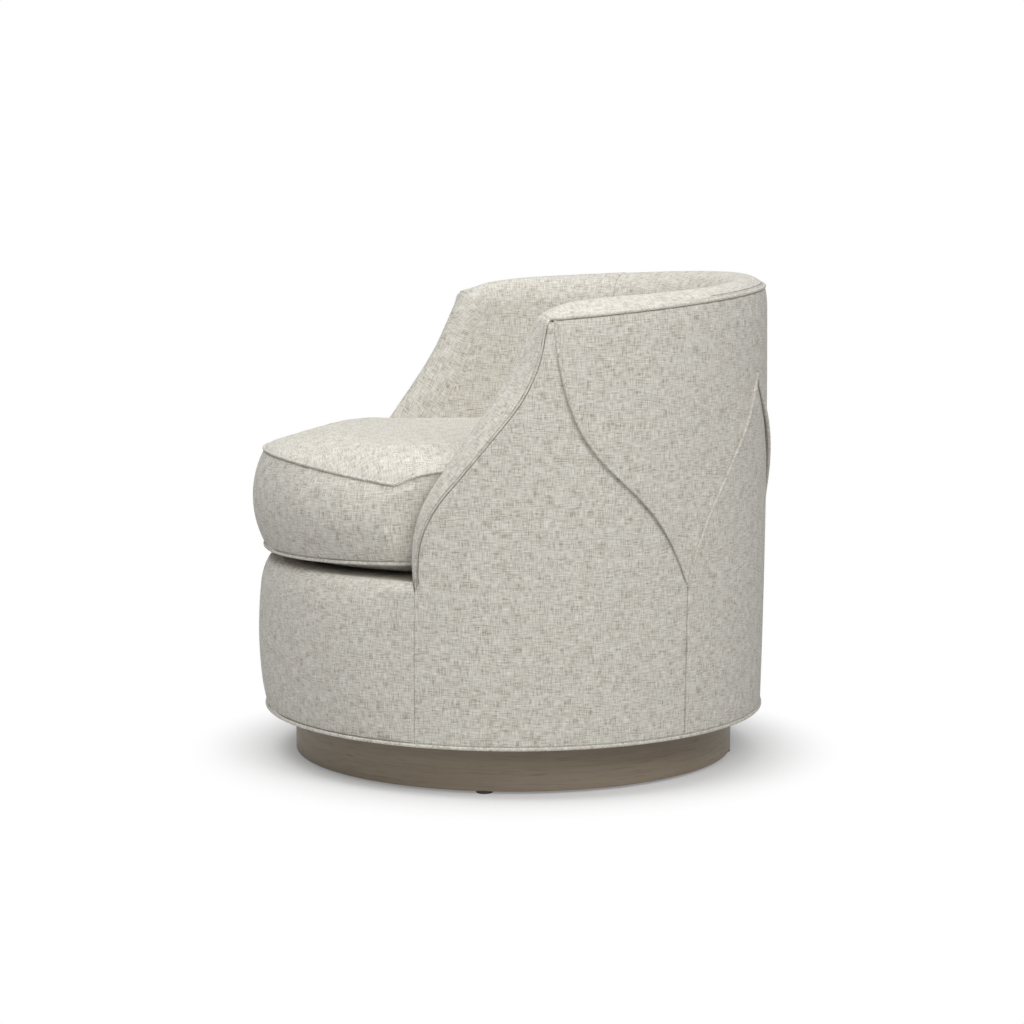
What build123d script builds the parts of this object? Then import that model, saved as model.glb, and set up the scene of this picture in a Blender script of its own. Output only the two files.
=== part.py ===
from build123d import *

# Round upholstered swivel chair: a barrel back of overlapping petal panels, a loose
# seat cushion and a round wooden plinth that carries the body on a ball swivel.
# Millimetres, +Z up, the swivel axis on Z and the floor at z = 0.  The front is
# towards -Y and the sitter's left arm towards +X.  Angles round the chair start at
# the centre back (+Y) and grow towards +X.

import os
from math import acos, asin, atan2, cos, degrees, hypot, radians, sin, sqrt, tan

# Outer wall of the barrel
HEM_RADIUS = 386.0         # covers at the hem
WALL_BOW = 7.5             # how far the wall swells out between hem and rim
RIM_SPREAD = 2.0           # how much wider the wall is at its top than at the hem
BOW_HEIGHT = 480.0         # height of the widest place of the wall
WALL_TOP = 760.0           # where the wall line ends, above the finished rim
COVER_FOOT = 79.5          # lower edge of the covers
COVER = 6.0                # cover with its padding
DUST_CLOTH = 1.0           # cloth under the body
SEAM = 0.3                 # gap between sewn pieces
PIPING = 3.5               # radius of the piping

# Rim and arm line, seen from the side
RIM_HEIGHT = 693.0         # centre of the rim piping over the swivel axis
RIM_TILT = 4.5             # degrees that the rim rises towards the back
CROWN = 15.0               # padded rim above the piping
ARM_SLOPE = 38.4           # lean of the sloping arm from upright, degrees
SWOOP_FOOT = 322.0         # height where the arm seam leaves the upright
BELLY_TURN = 194.0         # radius of the lower, outward bend of the arm
SLOPE_LENGTH = 140.0       # straight run between the two bends
NECK_TURN = 240.0          # radius of the upper, inward bend
NECK_SWING = 28.0          # degrees that the upper bend turns back
ARM_CORNER = 12.0          # rounding where the arm seam meets the rim
BAND_CROWN = 12.0          # padded band on the arm front
ARM_WIDTH = 37.0           # arm from outside to inside at its front seam
BACK_WALL = 68.0           # back from outside to inside at the centre

# Petal panels of the outer back
PETAL_TIP = 60.0           # degrees from the centre back to the tips of the quarter petals
BACK_TURN = 32.0           # degrees to the peaks of the lower petals at the back
ARM_TURN = 91.9            # degrees to the peaks of the lower petals at the arms
ARM_SEAM = 122.0           # degrees to the arm seams at the hem
VALLEY_HEIGHT = 300.0      # tips of the upper petals
BACK_PEAK = 598.0          # peaks of the lower petals at the back
ARM_PEAK = 690.0           # peaks of the lower petals at the arms
PETAL_LIP = 7.0            # how far the upper petals stand proud at their edge

# Seat well, pads, deck and cushion
PAD = 24.0                 # inside pad in front of the frame
PAD_ROUND = 14.0           # rounding of the inside edge of the padded rim
RIM_ROUND = 11.0           # rounding of the outside edge of the padded rim
PAD_SEAM = 48.0            # angle of the seams between inside back and arms
DECK_HEIGHT = 313.0        # top of the seat deck
DECK = 16.0                # thickness of the seat deck
APRON_BOW = 13.0           # how far the front apron swells past the hem
APRON = 14.0               # apron with its padding at the hem
CUSHION_FIT = 6.0          # room between cushion and inside arms
CUSHION_CORNER = 222.0     # cushion front corners in front of the axis
CUSHION_REACH = 388.0      # cushion seams in front of the axis
CUSHION_HEIGHT = 184.0     # from the deck to the top of the crown
CUSHION_SWELL = 19.0       # how far the front boxing swells past its seams
CUSHION_WRAP = 14.0        # padded cover round the foam core
CUSHION_PIPING = 3.0       # radius of the cushion piping
TUCK = 5.4                 # cover behind the piping at the cushion seams
LOW_SEAM = 18.4            # lower cushion seam above the deck
HIGH_SEAM = 160.0          # upper cushion seam above the deck
BOTTOM_EASE = 26.0         # how far the cushion bottom is drawn in from its sides
CROWN_EASE = 80.0          # how far the crown of the cushion is drawn in
CORNER_ROUND = 24.0        # rounding of the cushion front corners

# Wooden frame
BOARD = 18.0               # all boards
FRAME_FIT = 1.0            # between frame and covers
POST_DEPTH = 28.0
POST_WIDTH = 44.0
POST_STEP = 30.5           # degrees between the back posts
RAIL_WALL = 20.0           # bent rails that carry the webbing
RAIL_DEPTH = 58.0          # height of the rear rail
ARM_BOARD = 24.0           # arm boards
TOP_RAIL = 32.0            # width of the bent top rail
FRONT_RAIL_SPAN = 52.0     # half angle of the front rail
TOP_RAIL_SPAN = 87.0       # half angle of the top rail

# Seat webbing
STRAPS = 6
STRAP_PITCH = 84.0
STRAP = (60.0, 2.0)        # width and thickness of the rubber straps
CLIP = (64.0, 14.0, 2.0)   # length, width and thickness of the strap clips

# Swivel
PLATE = 3.0                # pressed swivel plates
PLATE_SIDE = 230.0
RACE_RADIUS = 80.0         # pitch circle of the balls
RACE_HALF = 10.0           # half width of the races
BALL = 5.0                 # radius of the balls
BALL_COUNT = 16
BALL_ROOM = 0.25           # between the balls and what holds them
RACE_GAP = 2.6             # between the two races
CAGE = 1.5                 # thickness of the ball cage
PIN = 10.0                 # radius of the centre pin
PIN_PLAY = 0.1             # running fit of the pin in the upper plate
PIN_HEAD = (16.0, 4.0)     # radius and height of the pin heads
BOLT_PLACE = 92.0          # bolt holes from the axis, along X and along Y
BOLT = 4.0                 # radius of the bolt shanks
BOLT_PLAY = 0.2
BOLT_HEAD = (7.5, 4.0)     # radius and height of bolt heads and nuts

# Plinth
PLINTH_SETBACK = 46.4      # plinth behind the hem
PLINTH_WALL = 25.0
PLINTH_TOP = 70.0
PLINTH_EDGE = 2.0          # rounding of the plinth edges
PLINTH_DROP = 18.0         # top of the plinth board below the plinth top
BLOCKS = 8
BLOCK = (60.0, 24.0, 30.0)
GLIDE_RADIUS = 12.5
GLIDE = 4.0                # height of the glides
GLIDE_PLACE = 18.0         # angle of the first of the four glides
GLIDE_PIN = (1.6, 14.0)    # radius and length of the glide nails

# Sizes that follow
REACH = 2 * HEM_RADIUS
ARM_FRONT = -HEM_RADIUS * cos(radians(ARM_SEAM))
WELL_HALF = HEM_RADIUS * sin(radians(ARM_SEAM)) - ARM_WIDTH
WELL_CENTRE = HEM_RADIUS - BACK_WALL - WELL_HALF
PLINTH_RADIUS = HEM_RADIUS - PLINTH_SETBACK
FRAME_RADIUS = HEM_RADIUS - COVER - FRAME_FIT
BOARD_TOP = PLINTH_TOP - PLINTH_DROP
BALL_HEIGHT = BOARD_TOP + PLATE + BALL + PLATE
BODY_FOOT = 2 * BALL_HEIGHT - BOARD_TOP
FLOOR = BODY_FOOT + BOARD
PAD_FOOT = DECK_HEIGHT + SEAM
SEAM_ANGLE = degrees(asin(SEAM / 2 / HEM_RADIUS))
RAIL_TOP = DECK_HEIGHT - DECK - STRAP[1] - CLIP[2] - SEAM
POST_OUT = FRAME_RADIUS - 3 * FRAME_FIT
POST_IN = POST_OUT - POST_DEPTH
REAR_RAIL_OUT = POST_IN - SEAM
FRONT_RAIL_OUT = HEM_RADIUS - APRON - SEAM
ARM_BOARD_IN = WELL_HALF + PAD + 4 * FRAME_FIT
ARM_BOARD_BACK = WELL_CENTRE
BOLTS = [(x, y) for x in (-BOLT_PLACE, BOLT_PLACE) for y in (-BOLT_PLACE, BOLT_PLACE)]


def around(angle, radius, height=0.0):
    """Point at an angle from the centre back."""
    return (radius * sin(radians(angle)), radius * cos(radians(angle)), height)


def disc(radius, low, high):
    """Upright cylinder on the swivel axis."""
    return extrude(Pos(0, 0, low) * Circle(radius), amount=high - low)


def hoop(inner, outer, low, high):
    """Upright ring round the swivel axis."""
    return disc(outer, low, high) - disc(inner, low, high)


def wedge(first, last):
    """Everything between two angles round the chair, under a half turn."""
    middle = (first + last) / 2
    rays = [around(angle, 2 * REACH) for angle in (first, middle, last)]
    return extrude(make_face(Polyline((0, 0, 0), *rays, close=True)), amount=2 * WALL_TOP)


def spin(*edges):
    """Turn a closed outline of (minus radius, height) round the swivel axis."""
    return revolve(Plane.YZ * make_face(edges), Axis.Z)


def wall_line(grow):
    """Side line of the barrel, moved outward."""
    foot = (-(HEM_RADIUS + grow), COVER_FOOT)
    bow = (-(HEM_RADIUS + WALL_BOW + grow), BOW_HEIGHT)
    top = (-(HEM_RADIUS + RIM_SPREAD + grow), WALL_TOP)
    return ThreePointArc(foot, bow, top)


def shell(inner, outer):
    """Body of revolution between two side lines of the barrel."""
    return spin(inner, Line(inner @ 1, outer @ 1), outer, Line(outer @ 0, inner @ 0))


def below_seam(arm, rim):
    """All that lies behind the arm seam and below the rim seam, each grown outward."""
    slant = tan(radians(RIM_TILT))
    rise = RIM_HEIGHT + rim / cos(radians(RIM_TILT))
    front = Line((-(ARM_FRONT + arm), 0), (-(ARM_FRONT + arm), SWOOP_FOOT))
    belly = JernArc(front @ 1, front % 1, BELLY_TURN + arm, -ARM_SLOPE)
    slope = PolarLine(belly @ 1, SLOPE_LENGTH, direction=belly % 1)
    neck = JernArc(slope @ 1, slope % 1, NECK_TURN - arm, NECK_SWING)
    end = neck @ 1
    way = neck % 1
    run = (rise + end.X * slant - end.Y) / (way.Y - way.X * slant)
    corner = end + way * run
    back = Vector(REACH, rise + REACH * slant)
    outline = make_face([
        front, belly, slope, neck, Line(end, corner), Line(corner, back),
        Line(back, (REACH, 0)), Line((REACH, 0), front @ 0),
    ])
    rounding = ARM_CORNER + max(arm, rim)
    if rounding > SEAM:
        outline = fillet(outline.vertices().sort_by_distance(corner)[0], rounding)
    return extrude(Plane.YZ * outline, amount=REACH, both=True)


def well(grow, low, high):
    """Upright prism over the seat well: straight arms and a round inside back."""
    half = WELL_HALF + grow
    sides = Pos(0, (WELL_CENTRE - REACH) / 2) * Rectangle(2 * half, REACH + WELL_CENTRE)
    plan = sides + Pos(0, WELL_CENTRE) * Circle(half)
    return extrude(Pos(0, 0, low) * plan, amount=high - low)


def petal(tip_turn, front_turn, front_peak, back_turn, back_peak, room):
    """Radial prism over an upper petal, from its tip up past the rim."""
    wide = HEM_RADIUS + WALL_BOW
    front_half = wide * sin(radians(front_turn - tip_turn)) + room
    half = wide * sin(radians(tip_turn - back_turn)) + room
    tip = (0, VALLEY_HEIGHT - 2 * room)
    spare = PETAL_LIP + COVER
    back_side = Bezier(
        tip,
        (0.2 * half, VALLEY_HEIGHT + 0.4 * (back_peak - VALLEY_HEIGHT) - room),
        (0.76 * half, VALLEY_HEIGHT + 0.74 * (back_peak - VALLEY_HEIGHT) - room),
        (half, back_peak - room),
    )
    if front_peak > back_peak:
        front_side = Bezier(
            (-front_half, front_peak),
            (-0.96 * front_half, VALLEY_HEIGHT + 0.33 * (front_peak - VALLEY_HEIGHT) - room),
            (-0.2 * front_half, VALLEY_HEIGHT + 0.41 * (front_peak - VALLEY_HEIGHT) - room),
            tip,
        )
        front_top = [Line((-front_half, WALL_TOP), (-front_half, front_peak))]
    else:
        front_side = back_side.mirror(Plane.YZ)
        front_top = [
            Line((-half - spare, WALL_TOP), (-half - spare, back_peak - room)),
            Line((-half - spare, back_peak - room), (-half, back_peak - room)),
        ]
    outer = (half + spare, back_peak - room)
    edges = [
        back_side, Line(back_side @ 1, outer), Line(outer, (half + spare, WALL_TOP)),
        Line((half + spare, WALL_TOP), front_top[0] @ 0), *front_top, front_side,
    ]
    outward = around(tip_turn, 1)
    face_plane = Plane((0, 0, 0), x_dir=(-outward[1], outward[0], 0), z_dir=outward)
    return extrude(face_plane.offset(HEM_RADIUS / 2) * make_face(edges), amount=HEM_RADIUS)


def follows_rim(edge):
    """Whether an edge of an inside pad is neither at its foot nor at a sewn seam."""
    point = edge @ 0.5
    angle = abs(degrees(atan2(point.X, point.Y)))
    return point.Z > PAD_FOOT + SEAM and abs(angle - PAD_SEAM) > 2 * SEAM_ANGLE


def borders_well(edge):
    """Whether an edge of an inside pad lies on the wall of the seat well."""
    point = edge @ 0.5
    behind = point.Y - WELL_CENTRE
    aside = hypot(point.X, behind) if behind > 0 else abs(point.X)
    upright_line = abs(behind) < SEAM
    return abs(aside - WELL_HALF) < SEAM / 10 and not upright_line


def rounded(pad):
    """Inside pad with the outside and inside edges of its rim rounded."""
    outer_face = pad.faces().sort_by(SortBy.AREA)[-1]
    pad = fillet([edge for edge in outer_face.edges() if follows_rim(edge)], RIM_ROUND)
    rim_edges = [edge for edge in pad.edges() if follows_rim(edge)]
    return fillet([edge for edge in rim_edges if borders_well(edge)], PAD_ROUND)


def cushion_plan(side, reach, height):
    """Cushion outline at one height: round back, straight sides and a bowed front."""
    corner = CUSHION_CORNER - (CUSHION_REACH - reach) / 2
    slack = side * sqrt(0.5)
    right = Line((side, WELL_CENTRE), (side, -corner))
    front = ThreePointArc(right @ 1, (0, -reach), (-side, -corner))
    left = Line(front @ 1, (-side, WELL_CENTRE))
    back_left = ThreePointArc(
        left @ 1, (-slack, WELL_CENTRE + slack), (0, WELL_CENTRE + side))
    back_right = ThreePointArc(
        back_left @ 1, (slack, WELL_CENTRE + slack), right @ 0)
    plan = make_face([right, front, left, back_left, back_right])
    corners = plan.vertices().sort_by(Axis.Y)[:2]
    return Pos(0, 0, height) * fillet(corners, CORNER_ROUND)


def tube(path, radius):
    """Round cord along a path."""
    return sweep(Plane(path @ 0, z_dir=path % 0) * Circle(radius), path=path)


def across(shape):
    """The same piece for the other side of the chair."""
    return mirror(shape, about=Plane.YZ)


# Plinth
plinth_hoop = hoop(PLINTH_RADIUS - PLINTH_WALL, PLINTH_RADIUS, GLIDE, PLINTH_TOP)
outside = plinth_hoop.edges().filter_by(GeomType.CIRCLE).group_by(SortBy.RADIUS)[-1]
plinth_ring = fillet(outside, PLINTH_EDGE)
plinth_board = disc(PLINTH_RADIUS - PLINTH_WALL - SEAM, BOARD_TOP - BOARD, BOARD_TOP)
plinth_board -= disc(2 * PIN_HEAD[0], 0, PLINTH_TOP)
block_out = PLINTH_RADIUS - PLINTH_WALL - SEAM
block_face = sqrt(block_out ** 2 - (BLOCK[0] / 2) ** 2)
block_low = BOARD_TOP - BOARD - BLOCK[2]
plinth_block = Pos(0, block_face - BLOCK[1] / 2, block_low + BLOCK[2] / 2) * Box(*BLOCK)
plinth_blocks = [Rot(0, 0, step * 360 / BLOCKS) * plinth_block for step in range(BLOCKS)]

# Glides nailed under the plinth
glide_disc = disc(GLIDE_RADIUS, 0, GLIDE)
glide_disc = fillet(glide_disc.edges().sort_by(Axis.Z)[0], GLIDE / 3)
glide = glide_disc + disc(GLIDE_PIN[0], GLIDE, GLIDE + GLIDE_PIN[1])
glide_places = [
    Pos(*around(GLIDE_PLACE + 90 * turn, PLINTH_RADIUS - PLINTH_WALL / 2)) for turn in range(4)
]
floor_glides = [place * glide for place in glide_places]
for place in glide_places:
    plinth_ring -= place * disc(GLIDE_PIN[0], 0, GLIDE + GLIDE_PIN[1])

# Swivel: two pressed plates with races, a caged ring of balls and a centre pin
plate_plan = RectangleRounded(PLATE_SIDE, PLATE_SIDE, 2 * BOLT_HEAD[0])
race = hoop(RACE_RADIUS - RACE_HALF, RACE_RADIUS + RACE_HALF, BOARD_TOP + PLATE,
            BALL_HEIGHT - RACE_GAP / 2)
groove = Pos(0, 0, BALL_HEIGHT) * Torus(RACE_RADIUS, BALL + BALL_ROOM)
lower_half = extrude(Pos(0, 0, BOARD_TOP) * plate_plan, amount=PLATE) + (race - groove)
upper_half = mirror(lower_half, about=Plane.XY.offset(BALL_HEIGHT))
plate_top = BODY_FOOT
swivel_lower_plate = lower_half - disc(PIN, 0, plate_top)
swivel_upper_plate = upper_half - disc(PIN + PIN_PLAY, 0, plate_top)
swivel_pin = disc(PIN, BOARD_TOP, plate_top + PIN_PLAY)
swivel_pin += disc(PIN_HEAD[0], BOARD_TOP - PIN_HEAD[1], BOARD_TOP)
swivel_pin += disc(PIN_HEAD[0], plate_top + PIN_PLAY, plate_top + PIN_PLAY + PIN_HEAD[1])
ball_places = [
    Pos(*around(turn * 360 / BALL_COUNT, RACE_RADIUS, BALL_HEIGHT)) for turn in range(BALL_COUNT)
]
bearing_balls = [place * Sphere(BALL) for place in ball_places]
bearing_cage = hoop(RACE_RADIUS - RACE_HALF - PLATE, RACE_RADIUS + RACE_HALF + PLATE,
                    BALL_HEIGHT - CAGE / 2, BALL_HEIGHT + CAGE / 2)
for place in ball_places:
    bearing_cage -= place * Cylinder(BALL + BALL_ROOM, BALL)

# Bolts of the two plates, each with its head and nut
bolt_head = BOLT_HEAD[1]
grip = PLATE + BOARD
bolt = disc(BOLT_HEAD[0], 0, bolt_head) + disc(BOLT, bolt_head, bolt_head + grip)
bolt += extrude(Pos(0, 0, bolt_head + grip) * RegularPolygon(BOLT_HEAD[0], 6), amount=bolt_head)
upper_start = plate_top - PLATE - bolt_head
lower_start = BOARD_TOP + PLATE + bolt_head
upper_bolts = [Pos(x, y, upper_start) * bolt for x, y in BOLTS]
lower_bolts = [Pos(x, y, lower_start) * Rot(180, 0, 0) * bolt for x, y in BOLTS]
bolt_holes = [Pos(x, y) * disc(BOLT + BOLT_PLAY, 0, FLOOR) for x, y in BOLTS]
plinth_board -= bolt_holes
swivel_lower_plate -= bolt_holes
swivel_upper_plate -= bolt_holes

# Wooden frame of the body
behind_arm_seam = Pos(0, REACH - ARM_FRONT - SEAM, 0) * Box(2 * REACH, 2 * REACH, 2 * REACH)
base_board = disc(FRAME_RADIUS, BODY_FOOT, FLOOR) - disc(2 * PIN_HEAD[0], 0, FLOOR)
base_board -= bolt_holes
dust_cover = hoop(0.75 * PLATE_SIDE, FRAME_RADIUS - PIPING, BODY_FOOT - DUST_CLOTH, BODY_FOOT)
front_rail = hoop(FRONT_RAIL_OUT - RAIL_WALL, FRONT_RAIL_OUT, FLOOR, RAIL_TOP)
front_rail &= wedge(180 - FRONT_RAIL_SPAN, 180 + FRONT_RAIL_SPAN)
apron_room = hoop(FRONT_RAIL_OUT, REACH, BODY_FOOT, FLOOR) - behind_arm_seam
base_board -= apron_room
rear_span = degrees(acos((ARM_BOARD_BACK + BOARD) / (REAR_RAIL_OUT - RAIL_WALL)))
rear_rail = hoop(REAR_RAIL_OUT - RAIL_WALL, REAR_RAIL_OUT, RAIL_TOP - RAIL_DEPTH, RAIL_TOP)
rear_rail &= wedge(-rear_span, rear_span)
under_top_rail = below_seam(-BOARD - SEAM, -BOARD - SEAM)
top_rail = hoop(FRAME_RADIUS - FRAME_FIT - TOP_RAIL, FRAME_RADIUS - FRAME_FIT, FLOOR, WALL_TOP)
top_rail &= wedge(-TOP_RAIL_SPAN, TOP_RAIL_SPAN)
top_rail &= below_seam(0, PIPING)
top_rail -= below_seam(-BOARD, -BOARD)
post_middle = (POST_IN + POST_OUT) / 2
post_height = WALL_TOP - FLOOR
post = Pos(0, post_middle, FLOOR + post_height / 2) * Box(POST_WIDTH, POST_DEPTH, post_height)
back_posts = [
    (Rot(0, 0, step * POST_STEP) * post) & under_top_rail for step in range(-2, 3)
]
arm_depth = ARM_FRONT - ARM_BOARD + ARM_BOARD_BACK
arm_middle = (ARM_BOARD_BACK - ARM_FRONT + ARM_BOARD) / 2
arm_blank = Box(ARM_BOARD, arm_depth, post_height)
arm_board = Pos(ARM_BOARD_IN + ARM_BOARD / 2, arm_middle, FLOOR + post_height / 2) * arm_blank
arm_board &= under_top_rail
arm_board &= disc(FRAME_RADIUS - FRAME_FIT, FLOOR, WALL_TOP)

# Seat webbing: rubber straps from rail to rail, held down by clips
front_hold = FRONT_RAIL_OUT - RAIL_WALL / 2
rear_hold = REAR_RAIL_OUT - RAIL_WALL / 2
seat_webbing = []
webbing_clips = []
for number in range(STRAPS):
    middle = (number - (STRAPS - 1) / 2) * STRAP_PITCH
    outer = abs(middle) + STRAP[0] / 2
    start = -sqrt(front_hold ** 2 - outer ** 2)
    stop = sqrt(rear_hold ** 2 - outer ** 2)
    lay = Pos(middle, (start + stop) / 2, RAIL_TOP + STRAP[1] / 2)
    seat_webbing.append(lay * Box(STRAP[0], stop - start, STRAP[1]))
    clip_height = RAIL_TOP + STRAP[1] + CLIP[2] / 2
    for end in (start + CLIP[1] / 2, stop - CLIP[1] / 2):
        webbing_clips.append(Pos(middle, end, clip_height) * Box(*CLIP))

# Deck over the webbing and the padded apron below its front edge
deck_plan = well(-SEAM, DECK_HEIGHT - DECK, DECK_HEIGHT)
seat_deck = deck_plan & disc(FRONT_RAIL_OUT, DECK_HEIGHT - DECK, DECK_HEIGHT)
apron_in = -(HEM_RADIUS - APRON)
apron_foot = Line((apron_in, COVER_FOOT), (-HEM_RADIUS, COVER_FOOT))
apron_mid = (COVER_FOOT + DECK_HEIGHT) / 2
apron_face = ThreePointArc(
    apron_foot @ 1, (-(HEM_RADIUS + APRON_BOW), apron_mid),
    (-(HEM_RADIUS + APRON_BOW / 3), DECK_HEIGHT - 1.6 * APRON),
)
apron_roll = ThreePointArc(
    apron_face @ 1, (-(HEM_RADIUS - APRON_BOW / 7), DECK_HEIGHT - 0.45 * APRON),
    (apron_in, DECK_HEIGHT),
)
apron_hoop = spin(apron_foot, apron_face, apron_roll, Line(apron_roll @ 1, apron_foot @ 0))
front_apron = apron_hoop - behind_arm_seam


# Inside pads: one padded wall cut at its sewn seams, each piece rounded along the rim and
# hollow over the frame
wall_side = wall_line(0)
axis_line = Line((0, WALL_TOP), (0, COVER_FOOT))
barrel = spin(wall_side, Line(wall_side @ 1, axis_line @ 0), axis_line,
              Line(axis_line @ 1, wall_side @ 0))
padded = barrel & below_seam(BAND_CROWN, CROWN)
padded -= disc(REACH, 0, PAD_FOOT)
padded -= well(0, 0, 2 * WALL_TOP)
frame_room = below_seam(0, PIPING + SEAM) - well(PAD, 0, 2 * WALL_TOP)
back_span = wedge(SEAM_ANGLE - PAD_SEAM, PAD_SEAM - SEAM_ANGLE)
inside_back = rounded(padded & back_span) - frame_room
inside_arm = rounded(padded & wedge(PAD_SEAM + SEAM_ANGLE, 180 - SEAM_ANGLE)) - frame_room

# Petal panels of the outer cover, the upper ones lapped over the lower ones
under_piping = below_seam(-SEAM, -PIPING - SEAM)
lower_skin = shell(wall_line(-COVER), wall_line(0)) & under_piping
lip_foot = VALLEY_HEIGHT - PETAL_LIP
lip_line = ThreePointArc(
    (-(HEM_RADIUS + WALL_BOW + 0.7 * PETAL_LIP), lip_foot),
    (-(HEM_RADIUS + WALL_BOW + PETAL_LIP), BOW_HEIGHT),
    (-(HEM_RADIUS + RIM_SPREAD), WALL_TOP),
)
upper_skin = shell(wall_line(-COVER), lip_line) & under_piping
side_petal, side_petal_room = [
    petal(PETAL_TIP, ARM_TURN, ARM_PEAK, BACK_TURN, BACK_PEAK, room) for room in (0, SEAM)
]
back_petal, back_petal_room = [
    petal(0, BACK_TURN, BACK_PEAK, -BACK_TURN, BACK_PEAK, room) for room in (0, SEAM)
]
past_arm = 1.25 * ARM_SEAM
quarter_panel = upper_skin & side_petal & wedge(BACK_TURN + SEAM_ANGLE, past_arm)
centre_panel = upper_skin & back_petal & wedge(SEAM_ANGLE - BACK_TURN, BACK_TURN - SEAM_ANGLE)
side_panel = lower_skin & wedge(PETAL_TIP + SEAM_ANGLE, past_arm)
side_panel -= side_petal_room
back_panel = lower_skin & wedge(SEAM_ANGLE, PETAL_TIP - SEAM_ANGLE)
back_panel -= side_petal_room
back_panel -= back_petal_room

# Piping of the hem and the rim
hem_piping = Pos(0, 0, COVER_FOOT - PIPING - SEAM) * Torus(HEM_RADIUS, PIPING)
tilt = radians(RIM_TILT)
rim_plane = Plane((0, 0, RIM_HEIGHT), x_dir=(1, 0, 0), z_dir=(0, -sin(tilt), cos(tilt)))
rim_piping = tube(rim_plane * CenterArc((0, 0), HEM_RADIUS + RIM_SPREAD, 0, 180), PIPING)

# Loose cushion: crowned top and bottom, drawn in at its two piped seams.  Each row is a
# height over the deck with the insets of the sides and of the front.
cushion_side = WELL_HALF - CUSHION_FIT
boxing = HIGH_SEAM - LOW_SEAM
dome = CUSHION_HEIGHT - HIGH_SEAM
bottom_rows = [
    (0.0, BOTTOM_EASE, 1.3 * BOTTOM_EASE),
    (0.45 * LOW_SEAM, 0.46 * BOTTOM_EASE, 0.54 * BOTTOM_EASE),
    (LOW_SEAM, TUCK, TUCK),
]
boxing_rows = [
    (LOW_SEAM, TUCK, TUCK),
    (LOW_SEAM + 0.25 * boxing, -0.08 * CUSHION_SWELL, -0.8 * CUSHION_SWELL),
    (LOW_SEAM + 0.5 * boxing, -0.1 * CUSHION_SWELL, -CUSHION_SWELL),
    (LOW_SEAM + 0.75 * boxing, -0.08 * CUSHION_SWELL, -0.85 * CUSHION_SWELL),
    (HIGH_SEAM, TUCK, TUCK),
]
crown_rows = [
    (HIGH_SEAM, TUCK, TUCK),
    (HIGH_SEAM + 0.54 * dome, 0.25 * CROWN_EASE, 0.3 * CROWN_EASE),
    (CUSHION_HEIGHT, CROWN_EASE, 1.25 * CROWN_EASE),
]
layers = []
for rows in (bottom_rows, boxing_rows, crown_rows):
    layers.append(loft([
        cushion_plan(cushion_side - side_in, CUSHION_REACH - front_in, PAD_FOOT + height)
        for height, side_in, front_in in rows
    ]))
core_side = cushion_side - CUSHION_WRAP
core_reach = CUSHION_REACH - CUSHION_WRAP
core_foot = PAD_FOOT + CUSHION_WRAP
core_height = HIGH_SEAM - CUSHION_WRAP
hollow = extrude(cushion_plan(core_side, core_reach, core_foot), amount=core_height)
core_plan = cushion_plan(core_side - SEAM, core_reach - SEAM, core_foot + SEAM)
cushion_core = extrude(core_plan, amount=core_height - 2 * SEAM)
cushion_cover = layers[0] + layers[1] + layers[2] - hollow
cushion_piping = []
for seam_height in (LOW_SEAM, HIGH_SEAM):
    seam_line = cushion_plan(cushion_side, CUSHION_REACH, PAD_FOOT + seam_height)
    cushion_piping.append(tube(seam_line.face().outer_wire(), CUSHION_PIPING))

pieces = {
    "plinth_ring": plinth_ring,
    "plinth_board": plinth_board,
    "plinth_blocks": plinth_blocks,
    "floor_glides": floor_glides,
    "swivel_lower_plate": swivel_lower_plate,
    "swivel_upper_plate": swivel_upper_plate,
    "swivel_pin": swivel_pin,
    "bearing_balls": bearing_balls,
    "bearing_cage": bearing_cage,
    "lower_bolts": lower_bolts,
    "upper_bolts": upper_bolts,
    "base_board": base_board,
    "dust_cover": dust_cover,
    "front_rail": front_rail,
    "rear_rail": rear_rail,
    "top_rail": top_rail,
    "back_posts": back_posts,
    "arm_board_left": arm_board,
    "arm_board_right": across(arm_board),
    "seat_webbing": seat_webbing,
    "webbing_clips": webbing_clips,
    "seat_deck": seat_deck,
    "front_apron": front_apron,
    "inside_back": inside_back,
    "inside_arm_left": inside_arm,
    "inside_arm_right": across(inside_arm),
    "side_panel_left": side_panel,
    "side_panel_right": across(side_panel),
    "back_panel_left": back_panel,
    "back_panel_right": across(back_panel),
    "quarter_panel_left": quarter_panel,
    "quarter_panel_right": across(quarter_panel),
    "centre_panel": centre_panel,
    "hem_piping": hem_piping,
    "rim_piping": rim_piping,
    "cushion_core": cushion_core,
    "cushion_cover": cushion_cover,
    "cushion_piping": cushion_piping,
}

os.makedirs("parts", exist_ok=True)
for name, shape in pieces.items():
    if isinstance(shape, list):
        shape = Compound(children=[piece.solid() for piece in shape])
    export_step(shape, f"parts/{name}.step")
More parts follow.
